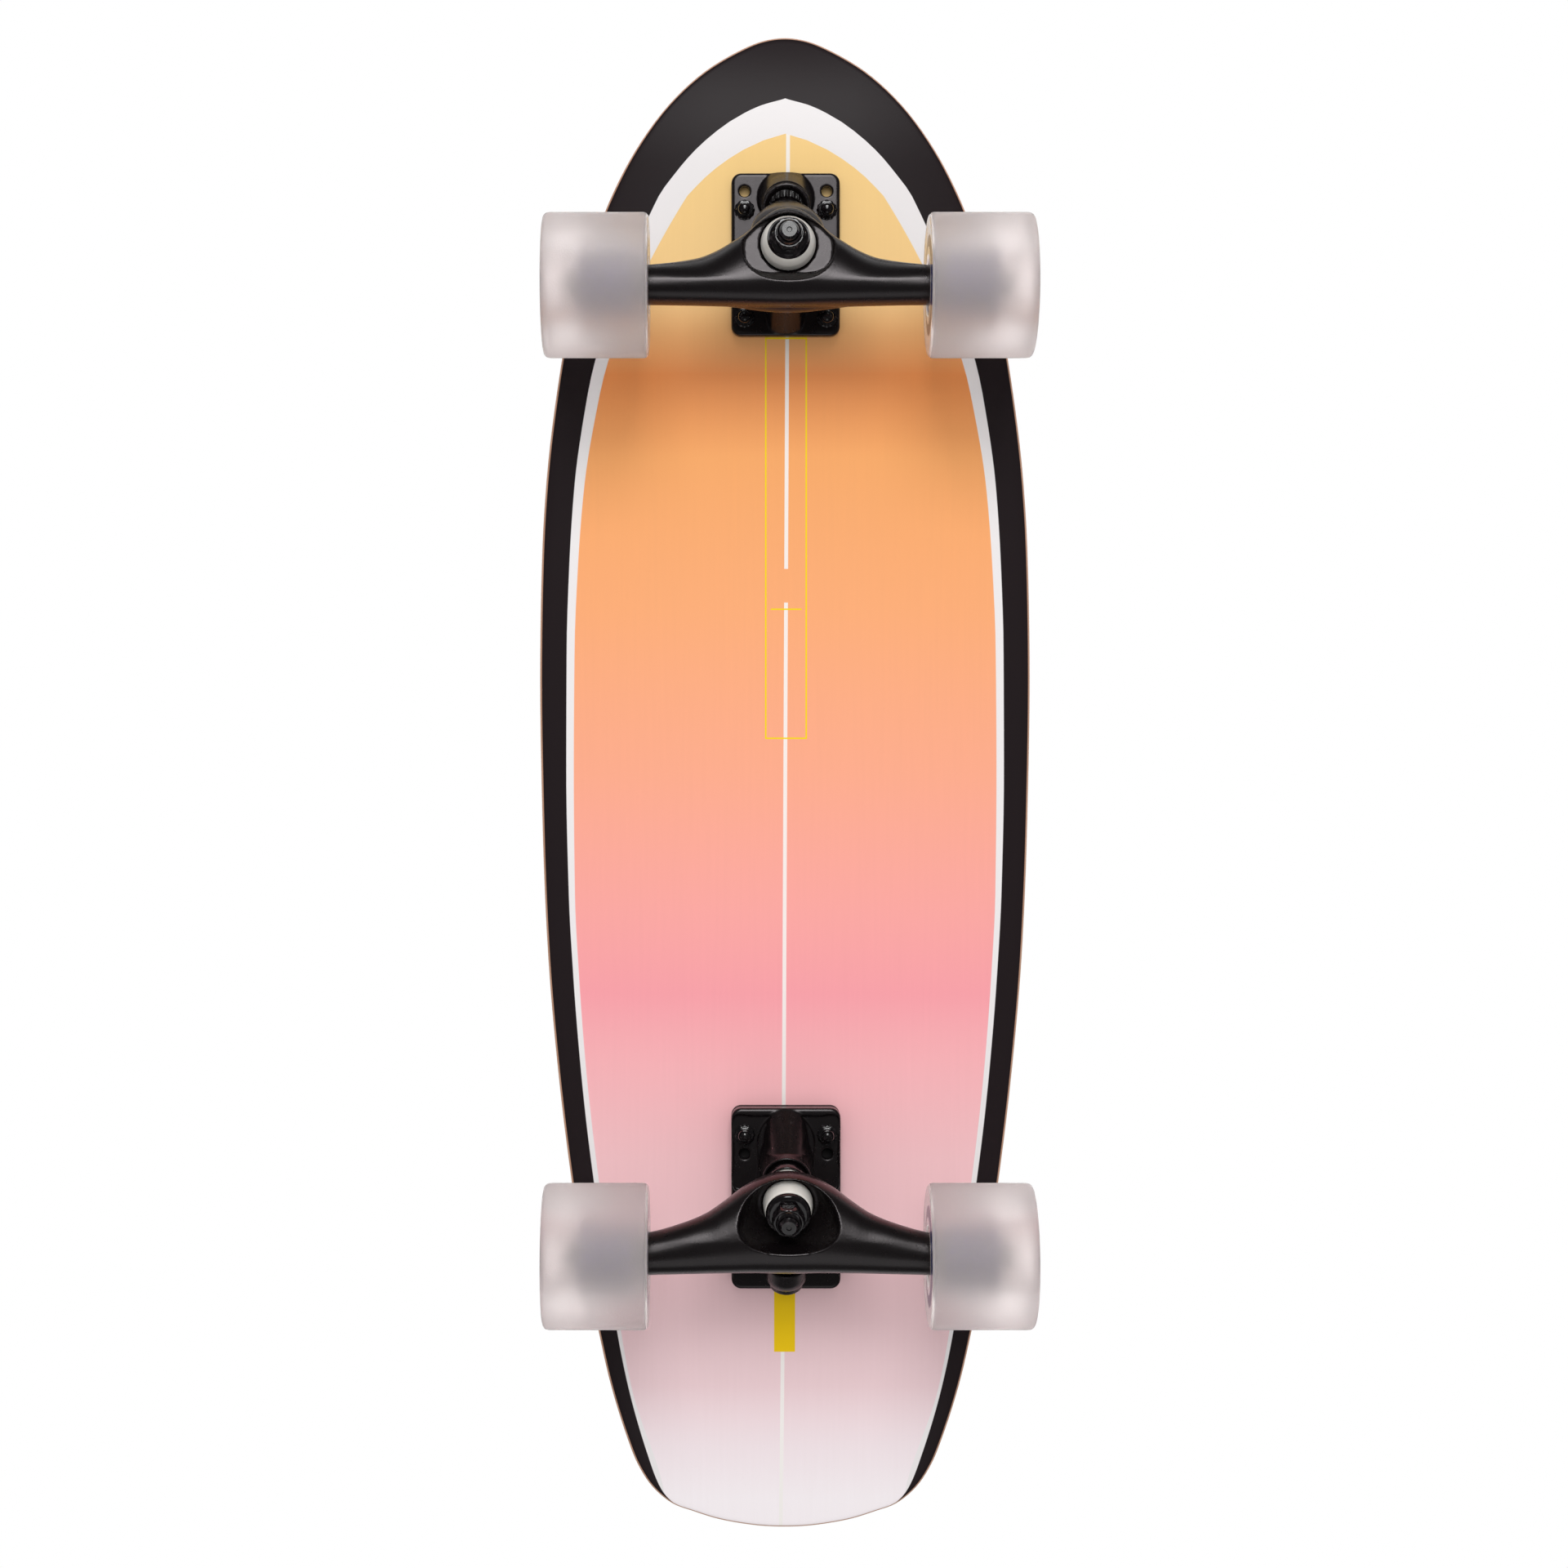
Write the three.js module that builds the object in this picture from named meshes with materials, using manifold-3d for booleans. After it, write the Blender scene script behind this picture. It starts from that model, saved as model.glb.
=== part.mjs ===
// A surf skateboard standing on its four wheels, in millimetres.
// +X points to the nose, +Y to the rider's left and +Z up.
// The origin is on the ground under the deck's middle.

import * as THREE from 'three';
import { mergeVertices } from 'three/addons/utils/BufferGeometryUtils.js';
import Module from 'manifold-3d';

const wasm = await Module();
wasm.setup();

// Clearances
const seatGap = 0.3;
const cutOverrun = 5;
const weldTolerance = 0.001;

// Deck: a pressed birch laminate, flat along the middle, with raised rails, a lifted nose and a kicked tail
const deck = {
  length: 762,
  width: 249,
  thickness: 10.5,
  flatWidth: 66,
  railRise: 9,
  noseRise: 12,
  noseBend: 66,
  tailRise: 26,
  tailBend: 120,
  edgeRound: 2.4,
  noseFan: 40,
  tailFan: 62,
};
const railCurve = 1.7;
const noseCurve = 2;
const tailCurve = 1.6;
const gripThickness = 1;

// Each rib of the deck: the most of it that the flat middle takes, and where its last inner level stands
const flatLimitShare = 0.6;
const innerLevelShare = 0.55;

// The outline from nose to tail: share of half the length, share of half the width
const outlineShares = [
  [1, 0],
  [0.9963, 0.082],
  [0.985, 0.167],
  [0.952, 0.328],
  [0.905, 0.477],
  [0.844, 0.611],
  [0.783, 0.709],
  [0.725, 0.779],
  [0.67, 0.838],
  [0.617, 0.881],
  [0.564, 0.912],
  [0.455, 0.959],
  [0.37, 0.982],
  [0.292, 0.993],
  [0.14, 1],
  [-0.035, 0.991],
  [-0.144, 0.98],
  [-0.253, 0.961],
  [-0.362, 0.931],
  [-0.47, 0.893],
  [-0.6, 0.835],
  [-0.725, 0.76],
  [-0.8, 0.71],
  [-0.872, 0.646],
  [-0.91, 0.603],
  [-0.942, 0.544],
  [-0.966, 0.462],
  [-0.977, 0.377],
  [-0.989, 0.266],
  [-0.998, 0.115],
  [-1, 0],
];

// How many flats each kind of round piece is made of
const facets = { wheel: 24, hub: 16, hardware: 12, small: 8, boss: 16, pocket: 24, hanger: 16, neck: 12 };

// Axles and wheels
const noseToFrontAxle = 137;
const tailToRearAxle = 156;
const axleDrop = 64;
const hangerWidth = 149;
const hangerEndRadius = 9.4;
const axleRadius = 4;
const axleThreadEnd = 1;
const axleNut = { acrossCorners: 14.6, height: 6.1, bevel: 0.8 };
const speedWasher = { radius: 6.2, thickness: 0.8 };
const bearing = { radius: 11, width: 7 };
const bearingSpacing = 10.6;
const wheel = {
  radius: 35,
  width: 51.3,
  innerRecess: 7.3,
  recessRadius: 13.5,
  recessFlare: 1.1,
  dish: 0.6,
  dishRadius: 21,
  lipWidth: 2.3,
  lipHeight: 2.9,
  crown: 5.4,
  shoulder: 2,
  outerMouth: 15,
};
const core = { radius: 15.7, overhang: 1, ledgeRadius: 9.1 };

// Mounting hardware: a rectangle of four bolts for each truck, on plates drilled with a spare rectangle
const boltSpacingAcross = 41.275;
const boltSpacingAlong = 53.975;
const spareRowOffset = 9.525;
const mountingBolt = { radius: 2.4, clearance: 0.45, headRadius: 4.7, headHeight: 2.6, end: 2.2 };
const mountingNut = {
  flangeRadius: 5.8,
  flangeHeight: 1.3,
  acrossCorners: 9.4,
  height: 4.2,
  collarRadius: 3.7,
  collar: 1.3,
};

// Kingpin hardware, the same on both trucks
const kingpin = { radius: 4.76, headRadius: 7.4, headHeight: 5, end: 2.6 };
const kingpinNut = { acrossCorners: 16.4, height: 6.4, collarRadius: 6.4, collar: 2.2, bevel: 0.9 };
const cupWasher = { roadRadius: 11, boardRadius: 10.3, thickness: 1.6, rim: 2, rimWall: 1.3 };
const bushingHeight = 12.6;
const boardsideBushing = { seatRadius: 10.9, topRadius: 10 };
const bulgePlaceShare = 0.45;
const bulgeRadiusShare = 0.3;
const ringThickness = 7;
const ringBoreRadius = 8;
const seatDepth = 1.4;
const seatMargin = 0.5;

// Pivot: the round tip of the hanger's neck in a rubber cup
const pivot = {
  tipRadius: 6.8,
  cupWall: 1.7,
  cupLip: 5.5,
  cupFlare: 1.4,
  housingWall: 2.6,
  housingLip: 7,
  mouthBevel: 1.2,
};
const tipCapShare = 0.97;

const plate = { width: 54.6, thickness: 6.5, corner: 5, edge: 1.2 };
const riserEdge = 0.6;
const rampCurve = 2.4;
const pocketCurve = 2.3;
const boss = { radius: 12.6, rim: 1.5, rimClearance: 0.7, flare: 2.4, ramp: 6.6, rampFoot: 3 };

// Each truck in its own frame: u runs outward from the axle, away from the deck's middle, and w down from
// the deck's underside. The ring is the middle of the hanger's web, which the kingpin passes through.
const frontTruck = {
  name: 'front',
  outward: 1,
  riser: 0,
  innerRow: -8.1,
  rowMargin: 9.25,
  ringU: 20.2,
  ringW: 56.2,
  kingpinLean: 6,
  pivotU: 46,
  pivotW: 13.5,
  housingLean: -12,
  bushing: { seatRadius: 13.4, topRadius: 10.9 },
  yokeReach: 37.2,
  yokeSpread: 29,
  keel: 3,
  keelSpread: 40,
  bellyDepth: 5,
  bellySpread: 30,
  roadRise: 0.6,
  pocketFloor: { back: 14.2, front: 14, side: 20.9 },
  pocketMouth: { back: 18, front: 13.6, side: 24 },
  neckShares: [
    // along from the ring to the pivot, across and down as shares of the way, half width, half depth
    [0.4, 0.06, 2.5, 0.75],
    [0.68, 0.22, 2.3, 0.8],
    [0.85, 0.45, 1.75, 0.92],
    [0.95, 0.7, 1.2, 1],
  ],
};
const rearTruck = {
  name: 'rear',
  outward: -1,
  riser: 6,
  innerRow: -51.2,
  rowMargin: 13.5,
  ringU: -25.8,
  ringW: 49.5,
  kingpinLean: 20,
  pivotU: 15,
  pivotW: 20.5,
  housingLean: -52,
  bushing: { seatRadius: 12.2, topRadius: 10.9 },
  yokeReach: 40,
  yokeSpread: 39,
  keel: 0,
  keelSpread: 40,
  bellyDepth: 11,
  bellySpread: 27,
  roadRise: 0.6,
  pocketFloor: { back: 11.5, front: 13.6, side: 15 },
  pocketMouth: { back: 13.8, front: 20.4, side: 24.4 },
  neckShares: [
    [0.4, 0.05, 1.9, 1.5],
    [0.6, 0.32, 1.5, 1.3],
    [0.76, 0.66, 1.2, 1.1],
    [0.885, 0.872, 1.05, 1],
  ],
};
const steeringTrucks = [frontTruck, rearTruck];

// Places that follow from the sizes above
const underside = wheel.radius + axleDrop;
const deckTop = underside + deck.thickness;
const halfHanger = hangerWidth / 2;
const wheelInnerFace = halfHanger + seatGap + speedWasher.thickness - core.overhang - wheel.innerRecess;
const axleX = {
  front: deck.length / 2 - noseToFrontAxle,
  rear: tailToRearAxle - deck.length / 2,
};

const finishes = {
  birch: { color: 0xd9b48c, roughness: 0.5, metalness: 0 },
  grip: { color: 0x1d1d1e, roughness: 0.95, metalness: 0 },
  castBlack: { color: 0x262427, roughness: 0.45, metalness: 0.3 },
  blackSteel: { color: 0x1c1a1d, roughness: 0.25, metalness: 0.8 },
  steel: { color: 0xb9bcc0, roughness: 0.3, metalness: 1 },
  blackRubber: { color: 0x171617, roughness: 0.7, metalness: 0 },
  paleUrethane: { color: 0xe8e4e1, roughness: 0.4, metalness: 0 },
  frostedUrethane: { color: 0xd4c9c7, roughness: 0.5, metalness: 0 },
  blueCore: { color: 0x6a6488, roughness: 0.4, metalness: 0 },
};

// Geometry helpers

function hasThreeCorners(a, b, c) {
  return a !== b && b !== c && c !== a;
}

function signedVolume(geometry) {
  const position = geometry.getAttribute('position');
  const index = geometry.getIndex();
  const a = new THREE.Vector3();
  const b = new THREE.Vector3();
  const c = new THREE.Vector3();
  let sum = 0;
  for (let i = 0; i < index.count; i += 3) {
    a.fromBufferAttribute(position, index.getX(i));
    b.fromBufferAttribute(position, index.getX(i + 1));
    c.fromBufferAttribute(position, index.getX(i + 2));
    sum += a.dot(b.cross(c));
  }
  return sum / 6;
}

// One closed body: shared corners welded, slivers of no area dropped, faces turned outward
function closed(geometry) {
  const bare = geometry.clone();
  bare.deleteAttribute('normal');
  bare.deleteAttribute('uv');
  const welded = mergeVertices(bare, weldTolerance);
  const index = welded.getIndex();
  const kept = [];
  for (let i = 0; i < index.count; i += 3) {
    const corners = [index.getX(i), index.getX(i + 1), index.getX(i + 2)];
    if (hasThreeCorners(...corners)) {
      kept.push(...corners);
    }
  }
  welded.setIndex(kept);
  if (signedVolume(welded) < 0) {
    for (let i = 0; i < kept.length; i += 3) {
      [kept[i], kept[i + 1]] = [kept[i + 1], kept[i]];
    }
    welded.setIndex(kept);
  }
  return welded;
}

function solid(geometry) {
  const body = closed(geometry);
  const vertProperties = new Float32Array(body.getAttribute('position').array);
  const triVerts = new Uint32Array(body.getIndex().array);
  return new wasm.Manifold(new wasm.Mesh({ numProp: 3, vertProperties, triVerts }));
}

function meshOf(manifold) {
  const result = manifold.getMesh();
  const geometry = new THREE.BufferGeometry();
  geometry.setAttribute('position', new THREE.BufferAttribute(new Float32Array(result.vertProperties), 3));
  geometry.setIndex(Array.from(result.triVerts));
  return geometry;
}

function joined(...geometries) {
  return meshOf(geometries.map(solid).reduce((whole, next) => whole.add(next)));
}

function cut(geometry, ...tools) {
  return meshOf(tools.map(solid).reduce((rest, tool) => rest.subtract(tool), solid(geometry)));
}

// A surface over closed rings of equal count, shut by a fan at each end
function loft(rings) {
  const count = rings[0].length;
  const middles = [rings[0], rings[rings.length - 1]].map((ring) =>
    ring.reduce((sum, point) => sum.add(point), new THREE.Vector3()).divideScalar(count));
  const points = [...rings.flat(), ...middles];
  const first = rings.length * count;
  const index = [];
  for (let i = 0; i < rings.length - 1; i += 1) {
    for (let j = 0; j < count; j += 1) {
      const next = (j + 1) % count;
      const a = i * count + j;
      const b = i * count + next;
      index.push(a, b, b + count, a, b + count, a + count);
    }
  }
  for (let j = 0; j < count; j += 1) {
    const next = (j + 1) % count;
    const last = (rings.length - 1) * count;
    index.push(first, next, j, first + 1, last + j, last + next);
  }
  const geometry = new THREE.BufferGeometry().setFromPoints(points);
  geometry.setIndex(index);
  return geometry;
}

// A solid turned about local +Z from [radius, height] points that close on themselves or meet the axis
function turned(profile, segments) {
  const onAxis = profile[0][0] === 0;
  const loop = onAxis ? profile : [...profile, profile[0]];
  const lathe = new THREE.LatheGeometry(loop.map(([r, z]) => new THREE.Vector2(r, z)), segments);
  return lathe.rotateX(Math.PI / 2);
}

function cylinder(radius, from, to, segments) {
  return turned([[0, from], [radius, from], [radius, to], [0, to]], segments);
}

function tube(inner, outer, from, to, segments) {
  return turned([[inner, from], [outer, from], [outer, to], [inner, to]], segments);
}

// A hexagon head or nut body with its outer corners bevelled at the far face
function hexagon(acrossCorners, bevel, from, to) {
  const radius = acrossCorners / 2;
  return turned([[0, from], [radius, from], [radius, to - bevel], [radius - bevel, to], [0, to]], 6);
}

function superEllipse(angle, power) {
  const c = Math.cos(angle);
  const s = Math.sin(angle);
  return [Math.sign(c) * Math.abs(c) ** (2 / power), Math.sign(s) * Math.abs(s) ** (2 / power)];
}

function bell(distance, spread) {
  return Math.exp(-((distance / spread) ** 2));
}

function degrees(angle) {
  return (angle * Math.PI) / 180;
}

// Deck

// How far the laminate is pressed up from its flat middle at a place in plan
function pressedHeight(x, y) {
  const halfLength = deck.length / 2;
  const nose = THREE.MathUtils.clamp((x - halfLength + deck.noseBend) / deck.noseBend, 0, 1);
  const tail = THREE.MathUtils.clamp((-x - halfLength + deck.tailBend) / deck.tailBend, 0, 1);
  const halfFlat = deck.flatWidth / 2;
  const rail = Math.max(0, (Math.abs(y) - halfFlat) / (deck.width / 2 - halfFlat));
  const lift = deck.noseRise * nose ** noseCurve + deck.tailRise * tail ** tailCurve;
  return lift + deck.railRise * rail ** railCurve;
}

function outlinePoints() {
  const side = outlineShares.map(([along, across]) =>
    new THREE.Vector3((along * deck.length) / 2, (across * deck.width) / 2, 0));
  const other = side.slice(1, -1).reverse().map((point) => new THREE.Vector3(point.x, -point.y, 0));
  return [...side, ...other];
}

// Ribs run from the deck's spine to its outline; each holds the same levels, so a sheet laid on
// the deck has the deck's own facets. Entries are [inset from the outline, height above the underside].
function deckSheet(inset, edge, low, high) {
  const halfLength = deck.length / 2;
  const rings = outlinePoints().map((rim) => {
    const spineX = THREE.MathUtils.clamp(rim.x, deck.tailFan - halfLength, halfLength - deck.noseFan);
    const reach = Math.hypot(rim.x - spineX, rim.y);
    const halfRib = Math.max(Math.abs(rim.y), weldTolerance);
    const flatShare = Math.min(flatLimitShare, deck.flatWidth / 2 / halfRib);
    const insideShare = 1 - inset / reach;
    const lastShare = THREE.MathUtils.lerp(flatShare, insideShare, innerLevelShare);
    const innerShares = [0, flatShare, lastShare];
    const place = (share, height) => {
      const x = THREE.MathUtils.lerp(spineX, rim.x, share);
      const y = THREE.MathUtils.lerp(0, rim.y, share);
      return new THREE.Vector3(x, y, underside + pressedHeight(x, y) + height);
    };
    return [
      ...innerShares.map((share) => place(share, high)),
      ...edge.map(([back, height]) => place(1 - back / reach, height)),
      ...innerShares.reverse().map((share) => place(share, low)),
    ];
  });
  const across = rings[0].length;
  const index = [];
  rings.forEach((ring, i) => {
    const next = ((i + 1) % rings.length) * across;
    for (let j = 0; j < across - 1; j += 1) {
      const a = i * across + j;
      const b = next + j;
      index.push(a, b, b + 1, a, b + 1, a + 1);
    }
  });
  const geometry = new THREE.BufferGeometry().setFromPoints(rings.flat());
  geometry.setIndex(index);
  return geometry;
}

// The four used bolt places of a truck, in the deck's frame
function boltPlaces(truck) {
  const rows = [truck.innerRow, truck.innerRow + boltSpacingAlong];
  const sides = [boltSpacingAcross / 2, -boltSpacingAcross / 2];
  return rows.flatMap((u) => sides.map((y) => [axleX[truck.name] + truck.outward * u, y]));
}

function boltHoles(radius, from, to) {
  return steeringTrucks.flatMap((truck) =>
    boltPlaces(truck).map(([x, y]) => cylinder(radius, from, to, facets.small).translate(x, y, 0)));
}

// Cones that let the countersunk heads sink into the deck's top
function countersinks() {
  const mouth = mountingBolt.headRadius + 2 * seatGap;
  const throat = mountingBolt.radius + seatGap;
  const bottom = deckTop - mountingBolt.headHeight - seatGap;
  const top = deckTop + cutOverrun;
  const profile = [[0, bottom], [throat, bottom], [mouth, deckTop], [mouth, top], [0, top]];
  return steeringTrucks.flatMap((truck) =>
    boltPlaces(truck).map(([x, y]) => turned(profile, facets.small).translate(x, y, 0)));
}

function deckGeometry() {
  const r = deck.edgeRound;
  const t = deck.thickness;
  const edge = [[r, t], [0, t - r], [0, r], [r, 0]];
  const holeRadius = mountingBolt.radius + mountingBolt.clearance;
  const holes = boltHoles(holeRadius, underside - cutOverrun, deckTop + cutOverrun);
  return cut(deckSheet(r, edge, 0, t), ...holes, ...countersinks());
}

function gripGeometry() {
  const low = deck.thickness + seatGap;
  const high = low + gripThickness;
  const holeRadius = mountingBolt.headRadius + 2 * seatGap;
  const holes = boltHoles(holeRadius, deckTop - cutOverrun, deckTop + cutOverrun);
  const edge = [[deck.edgeRound, high], [deck.edgeRound, low]];
  return cut(deckSheet(deck.edgeRound, edge, low, high), ...holes);
}

// Truck frame: a geometry built about local +Z, put at (u, w) with +Z leaning outward from straight down
function alongAxis(geometry, u, w, lean) {
  return geometry.rotateY(Math.PI - degrees(lean)).translate(u, 0, -w);
}

function roundedPlate(from, to, halfWidth, top, bottom, corner, edge) {
  const shape = new THREE.Shape();
  const left = from + edge;
  const right = to - edge;
  const side = halfWidth - edge;
  shape.moveTo(left + corner, -side);
  shape.lineTo(right - corner, -side);
  shape.absarc(right - corner, corner - side, corner, -Math.PI / 2, 0);
  shape.lineTo(right, side - corner);
  shape.absarc(right - corner, side - corner, corner, 0, Math.PI / 2);
  shape.lineTo(left + corner, side);
  shape.absarc(left + corner, side - corner, corner, Math.PI / 2, Math.PI);
  shape.lineTo(left, corner - side);
  shape.absarc(left + corner, corner - side, corner, Math.PI, 1.5 * Math.PI);
  const depth = bottom - top - 2 * edge;
  const extruded = new THREE.ExtrudeGeometry(shape, {
    depth, curveSegments: 3, bevelEnabled: true, bevelThickness: edge, bevelSize: edge, bevelSegments: 1,
  });
  return extruded.translate(0, 0, edge - bottom);
}

function plateEnds(truck) {
  return {
    inner: truck.innerRow - truck.rowMargin,
    outer: truck.innerRow + boltSpacingAlong + spareRowOffset + truck.rowMargin,
  };
}

// Places along the kingpin's axis, measured from the ring's middle towards the road
function kingpinStack(truck) {
  const halfRing = ringThickness / 2;
  const roadBushing = halfRing + seatGap;
  const roadWasher = roadBushing + bushingHeight + seatGap;
  const nut = roadWasher + cupWasher.thickness + seatGap;
  const end = nut + kingpinNut.height + kingpinNut.collar + kingpin.end;
  const boardBushing = -halfRing - seatGap - bushingHeight;
  const boardWasher = boardBushing - seatGap - cupWasher.thickness;
  const seat = boardWasher - seatGap;
  const lean = degrees(truck.kingpinLean);
  const headInset = kingpin.headRadius * Math.sin(lean) + 2 * seatGap;
  const head = -(truck.ringW - truck.riser - headInset) / Math.cos(lean);
  return { roadBushing, roadWasher, nut, end, boardBushing, boardWasher, seat, head };
}

function onKingpin(truck, geometry) {
  return alongAxis(geometry, truck.ringU, truck.ringW, truck.kingpinLean);
}

function kingpinPoint(truck, along) {
  const lean = degrees(truck.kingpinLean);
  return { u: truck.ringU + along * Math.sin(lean), w: truck.ringW + along * Math.cos(lean) };
}

// The arched ramp that stiffens the kingpin boss, rising from the plate's inner end
function bossRamp(truck) {
  const stack = kingpinStack(truck);
  const seat = kingpinPoint(truck, stack.seat);
  const surface = truck.riser + plate.thickness;
  const start = plateEnds(truck).inner + plate.edge;
  const foot = kingpinPoint(truck, stack.head);
  const steps = 4;
  const rings = [];
  for (let i = 0; i <= steps; i += 1) {
    const share = i / steps;
    const u = THREE.MathUtils.lerp(start, seat.u, share);
    const half = THREE.MathUtils.lerp(boss.ramp, boss.radius - plate.edge, Math.sqrt(share));
    const top = THREE.MathUtils.lerp(surface + seatGap, seat.w - boss.rim, share);
    const ring = [];
    for (let j = 0; j <= facets.small; j += 1) {
      const [c, s] = superEllipse((Math.PI * j) / facets.small, rampCurve);
      ring.push(new THREE.Vector3(u, half * c, -THREE.MathUtils.lerp(surface - boss.rampFoot, top, s)));
    }
    rings.push(ring);
  }
  rings.push(rings[steps].map((point) => new THREE.Vector3(foot.u + boss.rampFoot, point.y, point.z)));
  return rings[steps][0].x < foot.u + boss.rampFoot ? loft(rings) : loft(rings.slice(0, -1));
}

function kingpinBoss(truck) {
  const stack = kingpinStack(truck);
  const lean = degrees(truck.kingpinLean);
  const surface = (truck.ringW - truck.riser - plate.thickness) / Math.cos(lean);
  const foot = -surface - boss.rampFoot;
  const top = stack.seat + boss.rim;
  return onKingpin(truck, turned([
    [0, foot], [boss.radius + boss.flare, foot], [boss.radius, top - boss.flare],
    [boss.radius - plate.edge, top], [0, top],
  ], facets.boss));
}

function atPivot(truck, geometry) {
  return alongAxis(geometry, truck.pivotU, truck.pivotW, truck.housingLean);
}

const cupInside = pivot.tipRadius + seatGap;
const cupOutside = cupInside + pivot.cupWall;
const housingInside = cupOutside + seatGap;
const housingRadius = housingInside + pivot.housingWall;

// The pivot's housing: a round-ended barrel leaning along the hanger's neck
function pivotHousing(truck) {
  const rise = pivot.housingLip;
  const steps = 5;
  const profile = [];
  for (let i = 0; i <= steps; i += 1) {
    const angle = (-Math.PI / 2) * (1 - i / steps);
    profile.push([housingRadius * Math.cos(angle), housingRadius * Math.sin(angle)]);
  }
  profile[0][0] = 0;
  profile.push([housingRadius, rise - plate.edge], [housingRadius - plate.edge, rise], [0, rise]);
  const barrel = atPivot(truck, turned(profile, facets.boss));
  const surface = truck.riser + plate.thickness;
  const column = cylinder(housingRadius - seatGap, surface - boss.rampFoot, truck.pivotW, facets.boss);
  return joined(barrel, column.rotateX(Math.PI).translate(truck.pivotU, 0, 0));
}

function pivotHollow(truck) {
  const rise = pivot.housingLip + cutOverrun;
  const mouth = pivot.housingLip - pivot.mouthBevel;
  return atPivot(truck, turned([
    [0, -cupOutside - seatGap], [housingInside, -cupOutside - seatGap], [housingInside, mouth],
    [housingInside + pivot.mouthBevel, pivot.housingLip], [housingInside + pivot.mouthBevel, rise],
    [0, rise],
  ], facets.boss));
}

function baseplateGeometry(truck) {
  const { inner, outer } = plateEnds(truck);
  const stack = kingpinStack(truck);
  const roadFace = truck.riser + plate.thickness;
  const slab = roundedPlate(inner, outer, plate.width / 2, truck.riser + seatGap, roadFace,
    plate.corner, plate.edge);
  const body = joined(slab, kingpinBoss(truck), bossRamp(truck), pivotHousing(truck));
  const boardSide = spaceAbovePlate(truck);
  const seatRadius = cupWasher.boardRadius + boss.rimClearance;
  const washerSeat = cylinder(seatRadius, stack.seat, stack.seat + cutOverrun, facets.boss);
  const shankRadius = kingpin.radius + seatGap;
  const shankHole = cylinder(shankRadius, stack.head - cutOverrun, stack.seat + cutOverrun, facets.hub);
  const headTop = stack.head + kingpin.headHeight + seatGap;
  const headHole = cylinder(kingpin.headRadius + seatGap, stack.head - 2 * cutOverrun, headTop, facets.hub);
  const rows = [0, spareRowOffset, boltSpacingAlong, boltSpacingAlong + spareRowOffset];
  const holes = rows.flatMap((row) => [boltSpacingAcross / 2, -boltSpacingAcross / 2].map((y) =>
    cylinder(mountingBolt.radius + mountingBolt.clearance, -underside / 2, cutOverrun, facets.small)
      .translate(truck.innerRow + row, y, 0)));
  return cut(body, boardSide, onKingpin(truck, washerSeat), onKingpin(truck, shankHole),
    onKingpin(truck, headHole), pivotHollow(truck), ...holes);
}

// Everything above the plate's board side face, which keeps the rounded bosses out of the deck
function spaceAbovePlate(truck) {
  const { inner, outer } = plateEnds(truck);
  const length = outer - inner + 4 * housingRadius;
  const block = new THREE.BoxGeometry(length, 2 * plate.width, underside);
  return block.translate((inner + outer) / 2, 0, underside / 2 - truck.riser - seatGap);
}

function riserGeometry(truck) {
  const { inner, outer } = plateEnds(truck);
  const pad = roundedPlate(inner, outer, plate.width / 2, seatGap, truck.riser, plate.corner, riserEdge);
  const sides = [boltSpacingAcross / 2, -boltSpacingAcross / 2];
  const holeRadius = mountingBolt.radius + mountingBolt.clearance;
  const holes = [truck.innerRow, truck.innerRow + boltSpacingAlong].flatMap((u) => sides.map((y) =>
    cylinder(holeRadius, -truck.riser - cutOverrun, cutOverrun, facets.small).translate(u, y, 0)));
  return cut(pad, ...holes);
}

function pivotCupGeometry(truck) {
  const steps = 4;
  const profile = [[0, -cupOutside], [cupOutside, -cupOutside], [cupOutside, pivot.cupLip],
    [cupInside + pivot.cupFlare, pivot.cupLip]];
  for (let i = 0; i <= steps; i += 1) {
    const angle = (-Math.PI / 2) * (i / steps);
    profile.push([cupInside * Math.cos(angle), cupInside * Math.sin(angle)]);
  }
  profile[profile.length - 1][0] = 0;
  return atPivot(truck, turned(profile, facets.hub));
}

// Hanger sections stand across the axle line; the yoke bulges towards the kingpin and down to the bushing
function hangerBody(truck) {
  const towardsRing = Math.sign(truck.ringU);
  const stations = 8;
  const around = facets.hanger;
  const rings = [];
  for (let i = -stations; i <= stations; i += 1) {
    const y = (i / stations) * halfHanger;
    const yoke = bell(y, truck.yokeSpread) - bell(halfHanger, truck.yokeSpread);
    const keel = bell(y, truck.keelSpread) - bell(halfHanger, truck.keelSpread);
    const belly = bell(y, truck.bellySpread) - bell(halfHanger, truck.bellySpread);
    const reach = hangerEndRadius + (truck.yokeReach - hangerEndRadius) * yoke;
    const back = hangerEndRadius + truck.keel * keel;
    const road = hangerEndRadius + truck.roadRise * belly;
    const board = hangerEndRadius + truck.bellyDepth * belly;
    const power = 2 + belly;
    const middleU = ((reach - back) / 2) * towardsRing;
    const middleW = axleDrop + (road - board) / 2;
    const ring = [];
    for (let j = 0; j < around; j += 1) {
      const [c, s] = superEllipse((2 * Math.PI * j) / around, power);
      const half = new THREE.Vector2((reach + back) / 2, (road + board) / 2);
      ring.push(new THREE.Vector3(middleU + half.x * c, y, -(middleW + half.y * s)));
    }
    rings.push(ring);
  }
  return loft(rings);
}

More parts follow.
